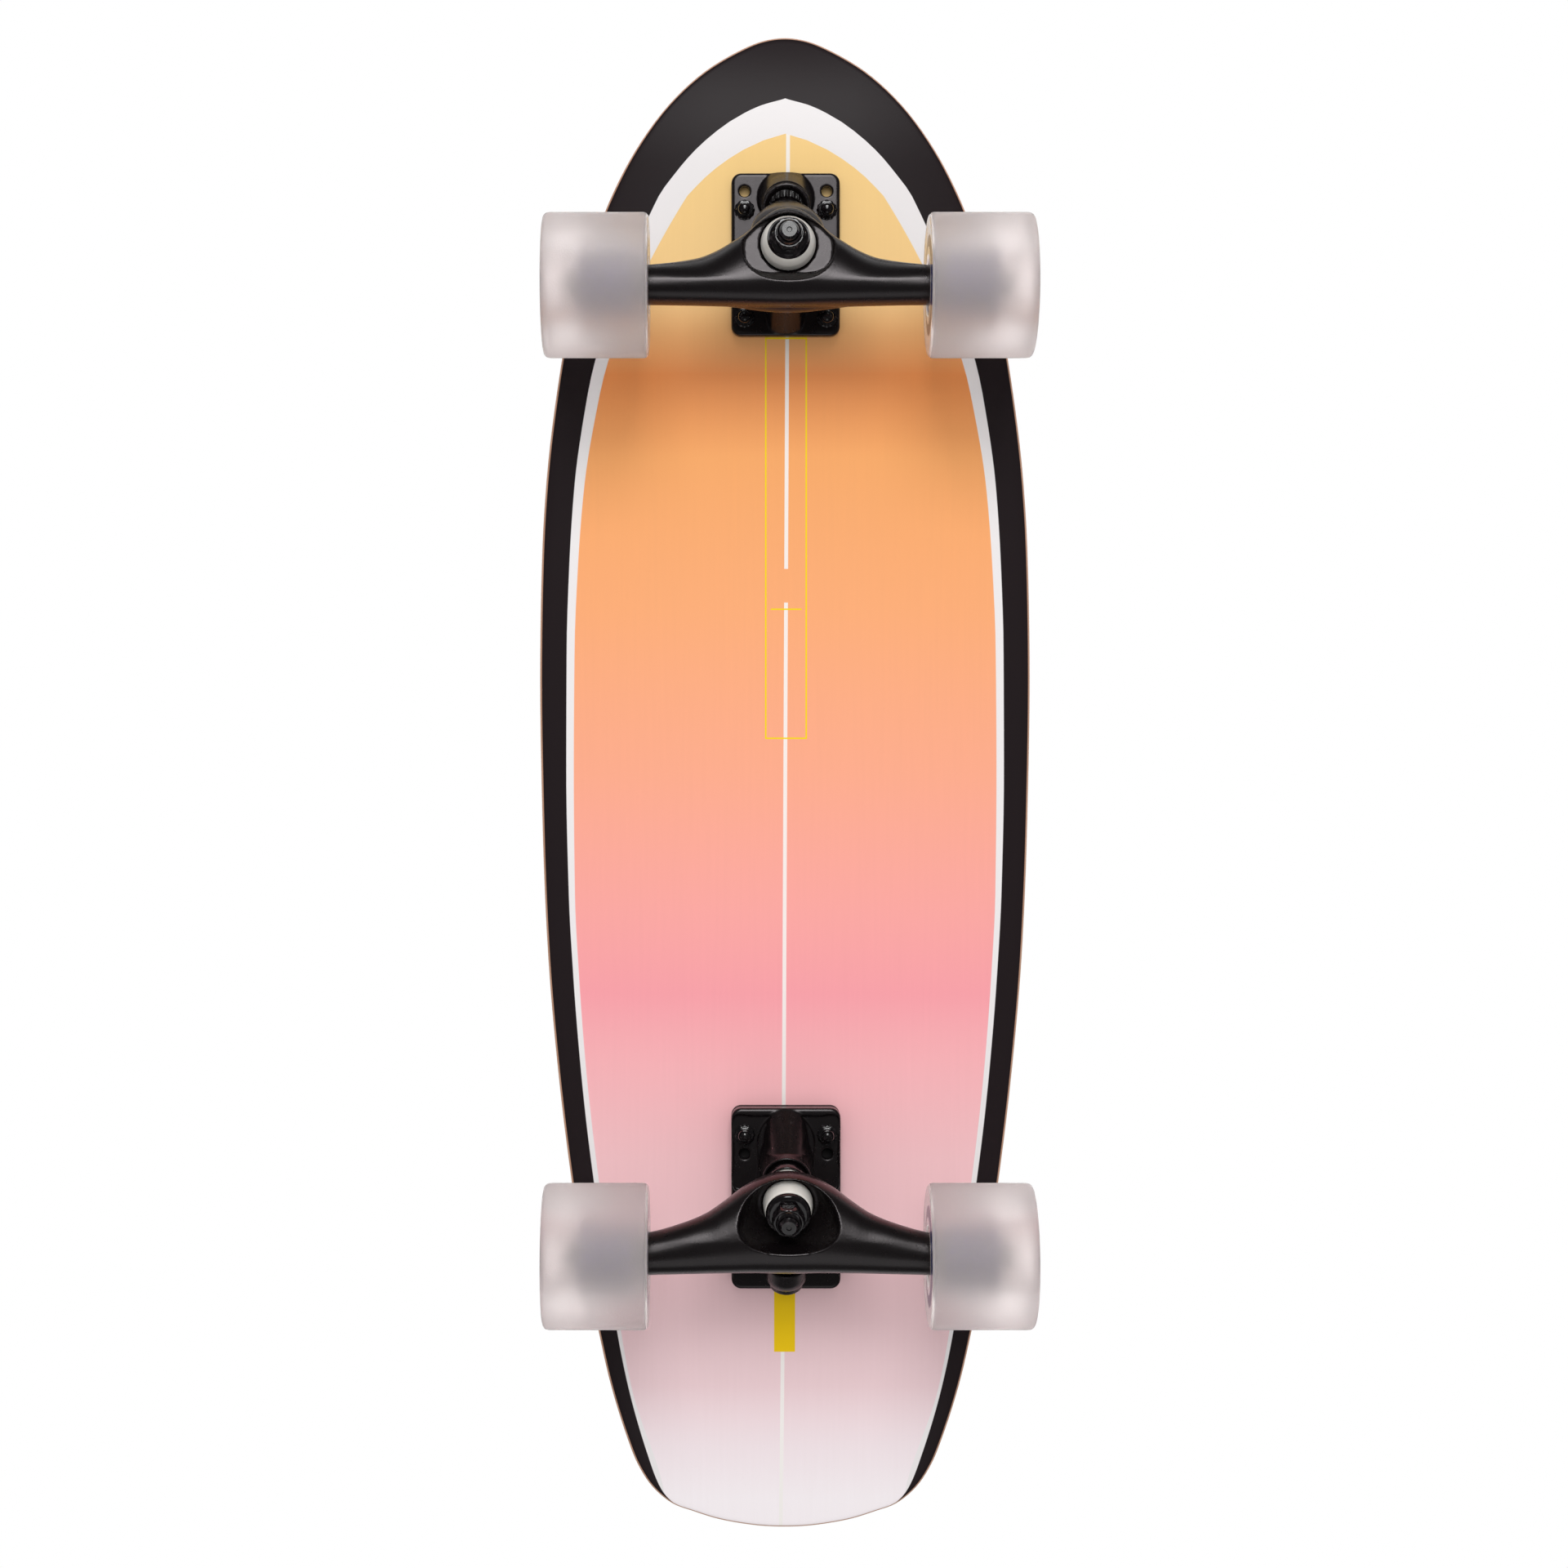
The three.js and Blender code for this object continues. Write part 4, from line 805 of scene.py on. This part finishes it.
cup_rubber = rubber_paint("cup_rubber", srgb(12, 10, 11), srgb(24, 21, 22), 0.26)
for truck in trucks:
    grid = turned(rounded(cup_profile, 0.7), 144)
    angle = np.arctan2(grid[..., 1], grid[..., 0])
    lip = np.clip((grid[..., 2] - lip_start) / lip_height, 0, 1)
    lip = lip * (grid[..., 0] ** 2 + grid[..., 1] ** 2 < lip_reach ** 2)
    grid[..., :2] *= (1 + crinkle_share * lip * np.cos(crinkles * angle))[..., None]
    grid[..., 2] += crinkle_rise * lip * np.sin(crinkles * angle)
    if truck == "front":
        grid[..., 0] *= np.where(grid[..., 0] > 0, 1 - squeeze_share * np.clip(2 * lip, 0, 1), 1)
    new_piece(f"{truck}_pivot_cup_moulding", in_barrel(grid, truck), BY_COLUMNS, "board",
              f"{truck}_pivot_cup", [cup_rubber], 60)

# Hangers

# Aluminium die castings like the plates. Two round arms grow into a yoke with an oval pocket, in which
# a bushing stands on each side of a web, and a neck runs from the yoke to the round tip in the pivot cup.

axle_drop, half_hanger, arm_end_round = 64.0, 74.5, 1.2
arm_radius, middle_swell, swell_reach = 9.5, 0.6, 34
# Tables of (distance along the axle from the middle, value), all in millimetres but for the squareness
yoke_reach = {
    "front": [(0, 38.8), (4.5, 38.1), (9, 36.0), (13.8, 32.4), (20.5, 26.6), (26.7, 22.6), (34.5, 18.0),
              (45, 13.8), (65, 10.3), (74.5, 9.5)],
    "rear": [(0, 39.4), (6, 38.8), (12.2, 37.0), (21.7, 32.1), (30.7, 25.8), (40, 20.0), (53, 15.2),
             (65, 11.9), (74.5, 10.2)],
}
back_reach = {
    "front": [(0, 10.4), (30, 10.0), (60, 9.6), (74.5, 9.5)],
    "rear": [(0, 8.6), (30, 8.4), (60, 8.8), (74.5, 9.3)],
}
belly_depth = {
    "front": [(0, 14.5), (18, 14.0), (34, 11.6), (52, 10.0), (74.5, 9.5)],
    "rear": [(0, 20.0), (16, 18.6), (30, 14.6), (50, 10.6), (74.5, 9.4)],
}
squareness = {
    "front": [(0, 3.0), (20, 2.8), (40, 2.3), (74.5, 2.0)],
    "rear": [(0, 2.9), (20, 2.7), (40, 2.3), (74.5, 2.0)],
}
# The yoke's far edge leans towards the board by this much, from this distance off the axle
edge_lift = {
    "front": [(0, 5.5), (12, 6.5), (24, 8.5), (36, 8.5), (48, 6.0), (62, 2.0), (74.5, 0.0)],
    "rear": [(0, 5.0), (20, 4.5), (35, 3.0), (50, 1.0), (74.5, 0.0)],
}
lift_start, lift_curve = {"front": 1.5, "rear": 8.0}, 1.25
# The keel's half length, depth and shift; its half width and half height, each with how much it swells in
# the middle; and each truck's share of the swell, with how far along the axle that reaches
keel_half, keel_at, keel_shift = 58, 58.0, 0.2
keel_width, keel_height = (7.5, 4.8), (6.8, 1.6)
keel_swell = {"front": (1.0, 30), "rear": (0.4, 26)}
# Distance towards the road along the kingpin, half width back, front and across, squareness back and front
pocket_rows = {
    "front": [(4.9, 15.3, 14.1, 21.9, 3.4, 1.55), (9.2, 15.7, 14.1, 22.3, 3.0, 1.55),
              (12.5, 18.0, 14.1, 23.0, 2.6, 1.55), (14.9, 20.7, 14.2, 23.8, 2.3, 1.55),
              (26.0, 26.5, 15.5, 27.0, 2.3, 1.6)],
    "rear": [(5.2, 11.5, 13.6, 15.0, 2.3, 2.2), (9.0, 12.2, 15.0, 18.4, 2.3, 2.2),
             (15.6, 13.0, 17.1, 22.0, 2.3, 2.2), (22.4, 13.4, 19.5, 24.0, 2.3, 2.2),
             (29.0, 13.9, 22.0, 25.0, 2.3, 2.2), (36.0, 15.0, 25.0, 27.0, 2.3, 2.2)],
}
# Outward, down, half width and half depth, from the yoke to the tip
neck_rows = {
    "front": [(21, 54, 18.0, 5.0), (28, 50.5, 18.0, 6.4), (33.6, 44, 16.4, 7.2), (37.4, 36, 13.6, 7.3),
              (40.4, 28, 9.8, 7.0), (43.0, 20.5, 7.0, 6.2), (46.0, 13.5, 6.4, 6.4)],
    "rear": [(-20, 50, 13, 6.0), (-12, 47, 12, 7.6), (-4, 41.5, 10.5, 8.4), (3, 34, 9.0, 8.0),
             (8.0, 28.5, 7.8, 7.4), (11.5, 24.6, 7.0, 7.0), (15.0, 20.5, 6.6, 6.6)],
}
neck_steps, neck_power = 28, 2.3
tip_radius, web_bore_radius, web_half = 6.9, 7.4, 3.4
board_seat_radius, axle_bore_radius = 11.4, 3.9
bushing_seat = {"front": 14.05, "rear": 12.8}
# On the hanger's hidden side the seat opens into a hollow that clears the boss when the truck steers
relief = {"front": 15.0, "rear": 13.4}


def on_axle(grid, truck, side):
    """Points turned about local +Z, moved to the axle on one side of the truck, in the board's frame."""
    return in_truck(np.stack((grid[..., 0], side * grid[..., 2], axle_drop + grid[..., 1]), -1), truck)


def along_path(rows):
    """Stations of a table spread evenly along its path, each with the tilt that sets its ring square to
    the path."""
    rows = np.asarray(rows, float)
    run = np.concatenate(([0], np.cumsum(np.hypot(*np.diff(rows[:, :2], axis=0).T))))
    at = np.linspace(0, run[-1], neck_steps)
    fine = np.stack([through(at, np.column_stack((run, column))) for column in rows.T], 1)
    return np.column_stack((fine, np.degrees(np.arctan2(np.gradient(fine[:, 0]), np.gradient(fine[:, 1])))))


def hanger_arms(truck):
    """Sections across the axle line: each is a superellipse whose reach towards the kingpin, reach back,
    depth towards the board and squareness follow tables along the arm."""
    noseward = outward[truck]
    along = np.linspace(-half_hanger, half_hanger, 150)
    far = np.abs(along)
    reach, back, belly, power = (through(far, table[truck])[:, None]
                                 for table in (yoke_reach, back_reach, belly_depth, squareness))
    road = (arm_radius + middle_swell * np.exp(-(far / swell_reach) ** 2))[:, None]
    in_round = np.clip((far - half_hanger + arm_end_round) / arm_end_round, 0, 0.9)
    end_round = np.sqrt(1 - in_round ** 2)[:, None]
    angle = full_turn(120)[None, :]
    half_u, half_w = (reach + back) / 2 * end_round, (road + belly) / 2 * end_round
    u = noseward * ((reach - back) / 2) + half_u * squared(np.cos(angle), power)
    w = axle_drop + (road - belly) / 2 + half_w * squared(np.sin(angle), power)
    start = lift_start[truck]
    out = np.clip((noseward * u - start) / (reach - start), 0, 1)
    lift = through(far, edge_lift[truck])[:, None] * out ** lift_curve
    return in_truck(capped(np.stack((u, np.repeat(along[:, None], 120, axis=1), w - lift), -1)), truck)


def keel_shell(truck):
    """A shallow rib on the board side of the arms: an ellipse that swells in the middle by a bell curve."""
    share, spread = keel_swell[truck]
    along = np.linspace(-keel_half, keel_half, 60)
    swell = (share * np.exp(-(along / spread) ** 2))[:, None]
    half_u, half_w = (plain + grown * swell for plain, grown in (keel_width, keel_height))
    angle = full_turn(60)[None, :]
    u = -outward[truck] * keel_shift + half_u * np.cos(angle)
    w = keel_at + half_w * np.sin(angle)
    return in_truck(capped(np.stack((u, np.repeat(along[:, None], 60, axis=1), w), -1)), truck)


def pocket_shell(truck):
    """The oval pocket: half ellipses of different length to the front and back, widening to the road."""
    angle = full_turn(96)
    c, s = np.cos(angle), np.sin(angle)
    ahead = c * outward[truck] > 0
    rows = []
    for height, back, front, across, blunt, sharp in pocket_rows[truck]:
        power = np.where(ahead, sharp, blunt)
        rows.append(np.stack((np.where(ahead, front, back) * squared(c, power), across * squared(s, power),
                              np.full(96, height)), 1))
    return on_kingpin(capped(np.array(rows)), truck)


def pivot_tip():
    """A round tip, flat where the neck runs into it."""
    arc = [(tip_radius * math.cos(t), tip_radius * math.sin(t)) for t in np.linspace(-1.45, 1.2, 20)]
    return turned(rounded([(0, -7.0)] + arc + [(0, 6.5)], 0.3))


for truck in trucks:
    neck = in_truck(lofted(along_path(neck_rows[truck]), neck_power), truck)
    bodies = [hanger_arms(truck), keel_shell(truck), neck, in_barrel(pivot_tip(), truck)]
    board_seat = [(0, -32), (relief[truck], -32), (relief[truck], -16), (board_seat_radius, -8.0),
                  (board_seat_radius, -web_half), (0, -web_half)]
    seats = [solid_rod(web_bore_radius, -22, 9), solid_rod(bushing_seat[truck], web_half, 12, 96),
             turned(board_seat, 72)]
    axle_bore = solid_rod(axle_bore_radius, -80, -60, 48)
    hollows = ([pocket_shell(truck)] + [on_kingpin(seat, truck) for seat in seats]
               + [on_axle(axle_bore, truck, hand) for hand in (-1, 1)])
    name = f"{truck}_hanger_casting"
    mesh = cast(name, bodies, hollows, casting_grain + 0.07, passes=3)
    finish_piece(name, mesh, f"{truck}_hanger_assembly", f"{truck}_hanger", [powder_coat], 70)

# Axles

# Ground steel rods cast into the hangers, with rolled threads on the ends for the lock nuts.

axle_end, axle_radius, thread_start = 108.9, 4, 96


def steel_paint(name, tone, roughness, streak):
    """Machined steel: bright, with fine turning marks round the axle."""
    made, tree, shader, place = new_paint(name, roughness, metal=1.0)
    lines = speckle(tree, stretched(tree, place, streak), 20.0, 4.0)
    shade = tuple(value * 0.82 for value in tone[:3]) + (1,)
    tree.links.new(blend_colours(tree, lines, shade, tone), shader.inputs["Base Color"])
    press_bump(tree, shader, lines, 0.00003, 0.3)
    return made


def threaded(start, end, radius, pitch, depth):
    """Profile rows of a thread drawn as close rings: the radius dips between crests by a cosine."""
    length = abs(end - start)
    t = np.linspace(0, 1, int(length / pitch * 4))
    dip = depth * (0.5 - 0.5 * np.cos(2 * math.pi * length / pitch * t))
    return np.stack((radius - dip, start + (end - start) * t), 1)


axle_steel = steel_paint("axle_steel", (0.62, 0.62, 0.64, 1), 0.28, (40, 4000, 40))
right_end = threaded(0.6 - axle_end, -thread_start, 3.95, 0.9, 0.35)
left_end = threaded(thread_start, axle_end - 0.6, 3.95, 0.9, 0.35)
rod_profile = np.vstack(([(0, -axle_end), (3.2, -axle_end)], right_end,
                         [(axle_radius, 0.5 - thread_start), (axle_radius, thread_start - 0.5)], left_end,
                         [(3.2, axle_end), (0, axle_end)]))
for truck in trucks:
    new_piece(f"{truck}_axle_rod", on_axle(turned(rod_profile, 64), truck, 1), BY_COLUMNS,
              f"{truck}_hanger_assembly", f"{truck}_axle", [axle_steel], 40)

# Kingpins and their seats

# A steel bolt stands out of each boss. From the board it carries a cup washer, a urethane bushing, the
# hanger's web, a second bushing, a second washer and a lock nut with a nylon ring.

kingpin_end = {"front": 31.0, "rear": 29.6}
head_radius, head_height, shank_radius = 7.2, 5, 4.76
bushing_start, washer_thick = 3.8, 1.6
# Radius, far face, the way the rim points, the rim's length, and how domed it is
roadside_cup = {"front": (10.4, 18.3, -1, 2.0, 1.0), "rear": (11.0, 18.3, -1, 2.0, 0.4)}
boardside_cup = {"front": (10.3, -18.6, 1, 2.0, 1.0), "rear": (10.3, -18.6, 1, 5.4, 1.0)}
boardside_slim = {"front": 0.0, "rear": 1.5}
# Profiles from the web outwards; the board side one is the same at both trucks but for its slimness
roadside_shape = {
    "front": [(5.06, 0), (13.2, 0), (13.4, 1.4), (12.5, 5.5), (10.9, 9.4), (10.4, 10.3), (9.4, 10.4),
              (9.4, 12.6), (5.06, 12.6)],
    "rear": [(5.06, 0), (12.0, 0), (12.2, 1.4), (11.9, 6.0), (11.3, 9.6), (10.9, 10.3), (9.4, 10.4),
             (9.4, 12.6), (5.06, 12.6)],
}
boardside_shape = [(5.06, 0), (10.7, 0), (10.9, -1.4), (10.6, -6.0), (10.2, -9.6), (10.0, -10.3),
                   (8.7, -10.4), (8.7, -12.6), (5.06, -12.6)]
kingpin_nut_profile = [(4.95, 18.6), (7.0, 18.6), (7.7, 19.2), (9, 19.6), (9, 24.2), (7.6, 24.8), (6.9, 25.0),
                       (6.4, 25.0), (6.2, 26.2), (5.8, 27.0), (5.1, 27.3), (4.95, 26.9)]
# Half the width across the flats, and the rows that the hexagon cuts
kingpin_nut_flats = (7.05, slice(0, 7))

gloss_steel, tree, shader, place = new_paint("blackened_steel", roughness=0.15, specular=0.4)
scuff = speckle(tree, place, 380.0, 5.0)
colour = blend_colours(tree, above(tree, scuff, 0.62, 0.2), srgb(12, 9, 11), srgb(44, 38, 40))
tree.links.new(colour, shader.inputs["Base Color"])
tree.links.new(maths(tree, "MULTIPLY_ADD", scuff, 0.2, 0.05), shader.inputs["Roughness"])
shader.inputs["Coat Weight"].default_value = 0.35
shader.inputs["Coat Roughness"].default_value = 0.06
press_bump(tree, shader, scuff, 0.0001, 0.35)

urethane, tree, shader, place = new_paint("pale_urethane", roughness=0.34, specular=0.45)
colour = blend_colours(tree, speckle(tree, place, 120.0), srgb(216, 210, 202), srgb(236, 232, 226))
tree.links.new(colour, shader.inputs["Base Color"])
shader.inputs["Subsurface Weight"].default_value = 0.15
shader.inputs["Subsurface Radius"].default_value = (0.004, 0.003, 0.0025)
press_bump(tree, shader, speckle(tree, place, 900.0, 2.0), 0.00005, 0.3)


def cup_washer(radius, back, side, rim, dome):
    """A pressed cup washer: a domed ring whose edge turns along the bushing, the way that side gives."""
    face = back + side * washer_thick
    return turned(rounded([
        (5.06, back), (7.2, back + side * 0.05), (9.2, back + side * 0.7 * dome),
        (radius - 0.5, back + side * 1.9 * dome), (radius, back + side * (1.0 + 1.8 * dome)),
        (radius, face + side * rim), (radius - 1.1, face + side * rim), (radius - 1.1, back + side * 3.0),
        (radius - 2.0, face + side * 0.3), (7.0, face), (5.06, face)], 0.5))


def kingpin_bolt(truck):
    """The bolt from its head, sunk in the plate, to its thread's hollow end."""
    end = kingpin_end[truck]
    lean = math.radians(kingpin_lean[truck])
    head = -(ring_at[truck][1] - riser_height[truck] - head_radius * math.sin(lean) - 0.6) / math.cos(lean)
    return turned(np.vstack((
        [(0, head), (head_radius, head), (head_radius, head + head_height),
         (shank_radius, head + head_height), (shank_radius, 14.9)],
        threaded(15.0, end - 1.3, 4.7, 1.0, 0.35),
        [(3.55, end), (1.3, end), (1.0, end - 0.6), (0, end - 0.6)])), 72)


for truck in trucks:
    board_rows = np.array(boardside_shape) - (0, bushing_start)
    board_rows[1:-1, 0] -= boardside_slim[truck]
    road_rows = np.array(roadside_shape[truck]) + (0, bushing_start)
    pieces = [
        ("kingpin_bolt", kingpin_bolt(truck), BY_COLUMNS, "black_steel", "kingpin", gloss_steel, 40),
        ("boardside_cup_washer", cup_washer(*boardside_cup[truck]), BOTH_WAYS, "black_steel",
         "boardside_washer", gloss_steel, 40),
        ("boardside_urethane", turned(rounded(board_rows, 0.5)), BOTH_WAYS, "pale_urethane",
         "boardside_bushing", urethane, 60),
        ("roadside_urethane", turned(rounded(road_rows, 0.5)), BOTH_WAYS, "pale_urethane",
         "roadside_bushing", urethane, 60),
        ("roadside_cup_washer", cup_washer(*roadside_cup[truck]), BOTH_WAYS, "black_steel",
         "roadside_washer", gloss_steel, 40),
        ("kingpin_lock_nut", turned(kingpin_nut_profile, 96, kingpin_nut_flats), BOTH_WAYS, "black_steel",
         "kingpin_nut", gloss_steel, 28),
    ]
    for suffix, grid, closes, slot, node, paint, crease in pieces:
        new_piece(f"{truck}_{suffix}", on_kingpin(grid, truck), closes, "board", f"{truck}_{node}",
                  [paint], crease)

# Mounting hardware

# Blackened steel bolts drop through the countersunk holes in the grip tape and the deck. A small flanged
# lock nut pulls each one down against the road side of the plate.

hands = (("left", 1), ("right", -1))
screw_radius, screw_end, screw_head = 2.4, 7.4, -deck_thickness - 1.35
socket_half, socket_rows = 1.6, slice(1, 3)
# Rows of the nut from the plate: its flange, its hexagon and its collar
mounting_nut_profile = [(2.5, 0.05), (4.9, 0.05), (5.1, 0.4), (5.0, 0.9), (4.5, 1.3), (4.4, 1.35), (4.6, 1.4),
                        (4.6, 3.6), (4.2, 4.2), (3.4, 4.4), (3.35, 4.4), (3.3, 5.3), (3.0, 5.8), (2.6, 5.9),
                        (2.5, 5.6)]
flange_rows, hexagon_rows, hexagon_half = slice(1, 5), slice(6, 9), 3.9
flange_teeth, tooth_share = 12, 0.035


def mounting_screw(face):
    """A flat-headed bolt from its socket down to its domed end past the plate's face."""
    top, tip = screw_head, face + screw_end
    head = [(0, top + 1.9), (1.9, top + 1.9), (1.9, top + 0.1), (2.1, top), (4.5, top), (4.7, top + 0.2),
            (4.7, top + 0.7), (screw_radius, top + 3.4), (screw_radius, face + 0.4)]
    thread = threaded(face + 0.5, tip - 0.5, screw_radius, 0.8, 0.22)
    dome = [(1.8, tip), (1.1, tip + 0.25), (0, tip + 0.3)]
    return turned(np.vstack((head, thread, dome)), 48, (socket_half, socket_rows))


mounting_nut = turned(mounting_nut_profile, 72, (hexagon_half, hexagon_rows))
tooth_turn = np.arctan2(mounting_nut[..., 1], mounting_nut[..., 0])[flange_rows]
mounting_nut[flange_rows, :, :2] *= (1 + tooth_share * np.cos(flange_teeth * tooth_turn))[..., None]
for truck in trucks:
    face = riser_height[truck] + plate_thick
    for row_name, row in zip(("inner", "outer"), bolt_rows[truck]):
        for hand_name, hand in hands:
            label = f"{truck}_{row_name}_{hand_name}_mounting"
            screw = at_bolt(mounting_screw(face), truck, row, 0.0, hand)
            new_piece(f"{label}_screw", screw, BY_COLUMNS, "board", f"{label}_bolt",
                      [gloss_steel], 35)
            nut = at_bolt(mounting_nut, truck, row, face, hand)
            new_piece(f"{label}_lock_nut", nut, BOTH_WAYS, "board", f"{label}_nut",
                      [gloss_steel], 28)

# Wheels

# Clear cast urethane, 70 mm across, poured round a blue core and turned on a lathe: the tread is left
# frosted by the tool, and the moulded side faces stay glossy. A plain ring is printed on each face.

wheel_radius = 35.0
core_in, core_out = 74.6, 101.2
bearing_radius, bearing_bore, bearing_width, washer_height = 11, 4.2, 7, 0.75
# Each bearing's name, the distance of its inner side along the axle, and the way its shield faces
bearings = (("inner_bearing", 82.6, -1), ("outer_bearing", 93.2, 1))
# Profiles of (radius, distance along the axle from the truck's middle)
tyre_profile = [
    (16.0, 74.3), (13.5, 74.3), (13.9, 71.0), (14.5, 68.4), (15.3, 67.55), (16.4, 67.4), (18.6, 67.6),
    (24.4, 67.85), (30.0, 67.6), (32.1, 67.35), (33.4, 67.6), (34.4, 68.4), (34.9, 69.4), (35.0, 70.2),
    (35.0, 114.4), (34.96, 115.2), (34.85, 116.0), (34.6, 116.8), (34.1, 117.5), (33.3, 118.0),
    (32.0, 118.3), (30.0, 118.4), (24.6, 118.5), (18.2, 118.55), (16.4, 118.5), (15.4, 118.1),
    (14.9, 117.2), (14.4, 113.0), (13.7, 106.0), (13.5, 101.5), (16.0, 101.5),
]
core_profile = [
    (11.25, core_in), (13.2, core_in), (13.5, core_in + 0.6), (15.0, core_in + 0.6), (15.7, core_in + 1.4),
    (15.7, core_out - 1.4), (15.0, core_out - 0.6), (13.5, core_out - 0.6), (13.2, core_out),
    (11.25, core_out), (11.25, 93.0), (9.1, 92.8), (9.1, 82.9), (11.25, 82.7),
]
axle_nut_profile = [(3.9, 101.7), (6.6, 101.7), (7.2, 102.2), (8.5, 102.6), (8.5, 106.2), (7.2, 107.0),
                    (6.3, 107.3), (5.6, 107.6), (4.6, 107.7), (3.9, 107.4)]
axle_nut_flats = (6.35, slice(0, 7))
# Glossy faces and printed rings, as (paint, least and largest radius, least and largest distance)
tyre_bands = [(1, 14.0, 34.3, 66.0, 69.0), (1, 14.0, 32.5, 115.5, 119.0), (2, 18.6, 24.5, 66.0, 69.0),
              (2, 18.1, 24.7, 117.5, 119.0)]


def urethane_paint(name, tint, roughness, clear, bump):
    """Clear cast urethane: light passes through it, blurred as much as its surface is frosted."""
    made, tree, shader, place = new_paint(name, roughness)
    bright = tuple(min(1, value * 1.05) for value in tint[:3]) + (1,)
    colour = blend_colours(tree, speckle(tree, place, 35.0), tint, bright)
    tree.links.new(colour, shader.inputs["Base Color"])
    shader.inputs["Transmission Weight"].default_value = clear
    shader.inputs["IOR"].default_value = 1.42
    press_bump(tree, shader, speckle(tree, place, 1400.0, 2.0), bump, 0.5)
    return made


def plain_paint(name, roughness, scale, dark, light):
    """A smooth paint whose colour drifts between two tones."""
    made, tree, shader, place = new_paint(name, roughness)
    tree.links.new(blend_colours(tree, speckle(tree, place, scale), dark, light), shader.inputs["Base Color"])
    return made


frosted = urethane_paint("frosted_urethane", srgb(244, 236, 235), 0.63, 0.8, 0.00012)
glossy = urethane_paint("glossy_urethane", srgb(234, 226, 223), 0.16, 0.6, 0.00001)
ring_ink = plain_paint("blue_ring_ink", 0.25, 500.0, srgb(30, 38, 92), srgb(38, 48, 110))
core_paint = plain_paint("blue_core", 0.3, 200.0, srgb(37, 29, 108), srgb(48, 39, 124))
shield_paint = plain_paint("bearing_shield", 0.35, 400.0, srgb(20, 22, 40), srgb(34, 36, 60))
bearing_steel = steel_paint("bearing_steel", (0.58, 0.58, 0.60, 1), 0.2, (30, 30, 30))


def band_paint(piece, centre, bands):
    """Gives the faces in each band its paint: a band lies between two radii and two distances along the
    axle."""
    mesh = piece.data
    middles = np.empty(len(mesh.polygons) * 3)
    mesh.polygons.foreach_get("center", middles)
    middles = middles.reshape(-1, 3) / MM
    radius = np.hypot(middles[:, 0] - centre, middles[:, 2] - wheel_radius)
    out = np.abs(middles[:, 1])
    chosen = np.zeros(len(mesh.polygons), dtype=np.int32)
    for index, low, high, lowest, highest in bands:
        chosen[(radius > low) & (radius < high) & (out > lowest) & (out < highest)] = index
    mesh.polygons.foreach_set("material_index", chosen)


def bearing_profile(back, way):
    """A bearing with its shield a little sunk, and the speed washer on its inner ring."""
    face = back + way * bearing_width
    sunk, washer = face - way * 0.5, face + way * washer_height
    return rounded([(bearing_bore, back), (bearing_radius, back), (bearing_radius, face), (9.5, face),
                    (9.3, sunk), (6.5, sunk), (6.3, face), (6.1, face), (6.1, washer),
                    (bearing_bore, washer)], 0.2, steps=3)


for truck in trucks:
    for hand_name, hand in hands:
        side, centre = hand * outward[truck], axle_x[truck]
        corner = f"{truck}_{hand_name}"
        body = f"{corner}_wheel"
        tyre = new_piece(f"{body}_urethane", on_axle(turned(tyre_profile, 160), truck, side), BOTH_WAYS, body,
                         f"{body}_tyre", [frosted, glossy, ring_ink], 50)
        band_paint(tyre, centre, tyre_bands)
        core = on_axle(turned(rounded(core_profile, 0.3)), truck, side)
        new_piece(f"{body}_core_moulding", core, BOTH_WAYS, body, f"{body}_core",
                  [core_paint], 50)
        for name, back, way in bearings:
            face = back + way * bearing_width
            rings = on_axle(turned(bearing_profile(back, way)), truck, side)
            bearing = new_piece(f"{corner}_{name}_rings", rings, BOTH_WAYS, body,
                                f"{corner}_{name}", [bearing_steel, shield_paint], 35)
            band_paint(bearing, centre, [(1, 6.6, 9.2, *sorted((face - way * 0.8, face - way * 0.2)))])
        nut = on_axle(turned(axle_nut_profile, 72, axle_nut_flats), truck, side)
        new_piece(f"{corner}_axle_lock_nut", nut, BOTH_WAYS, f"{truck}_hanger_assembly",
                  f"{corner}_axle_nut", [gloss_steel], 28)
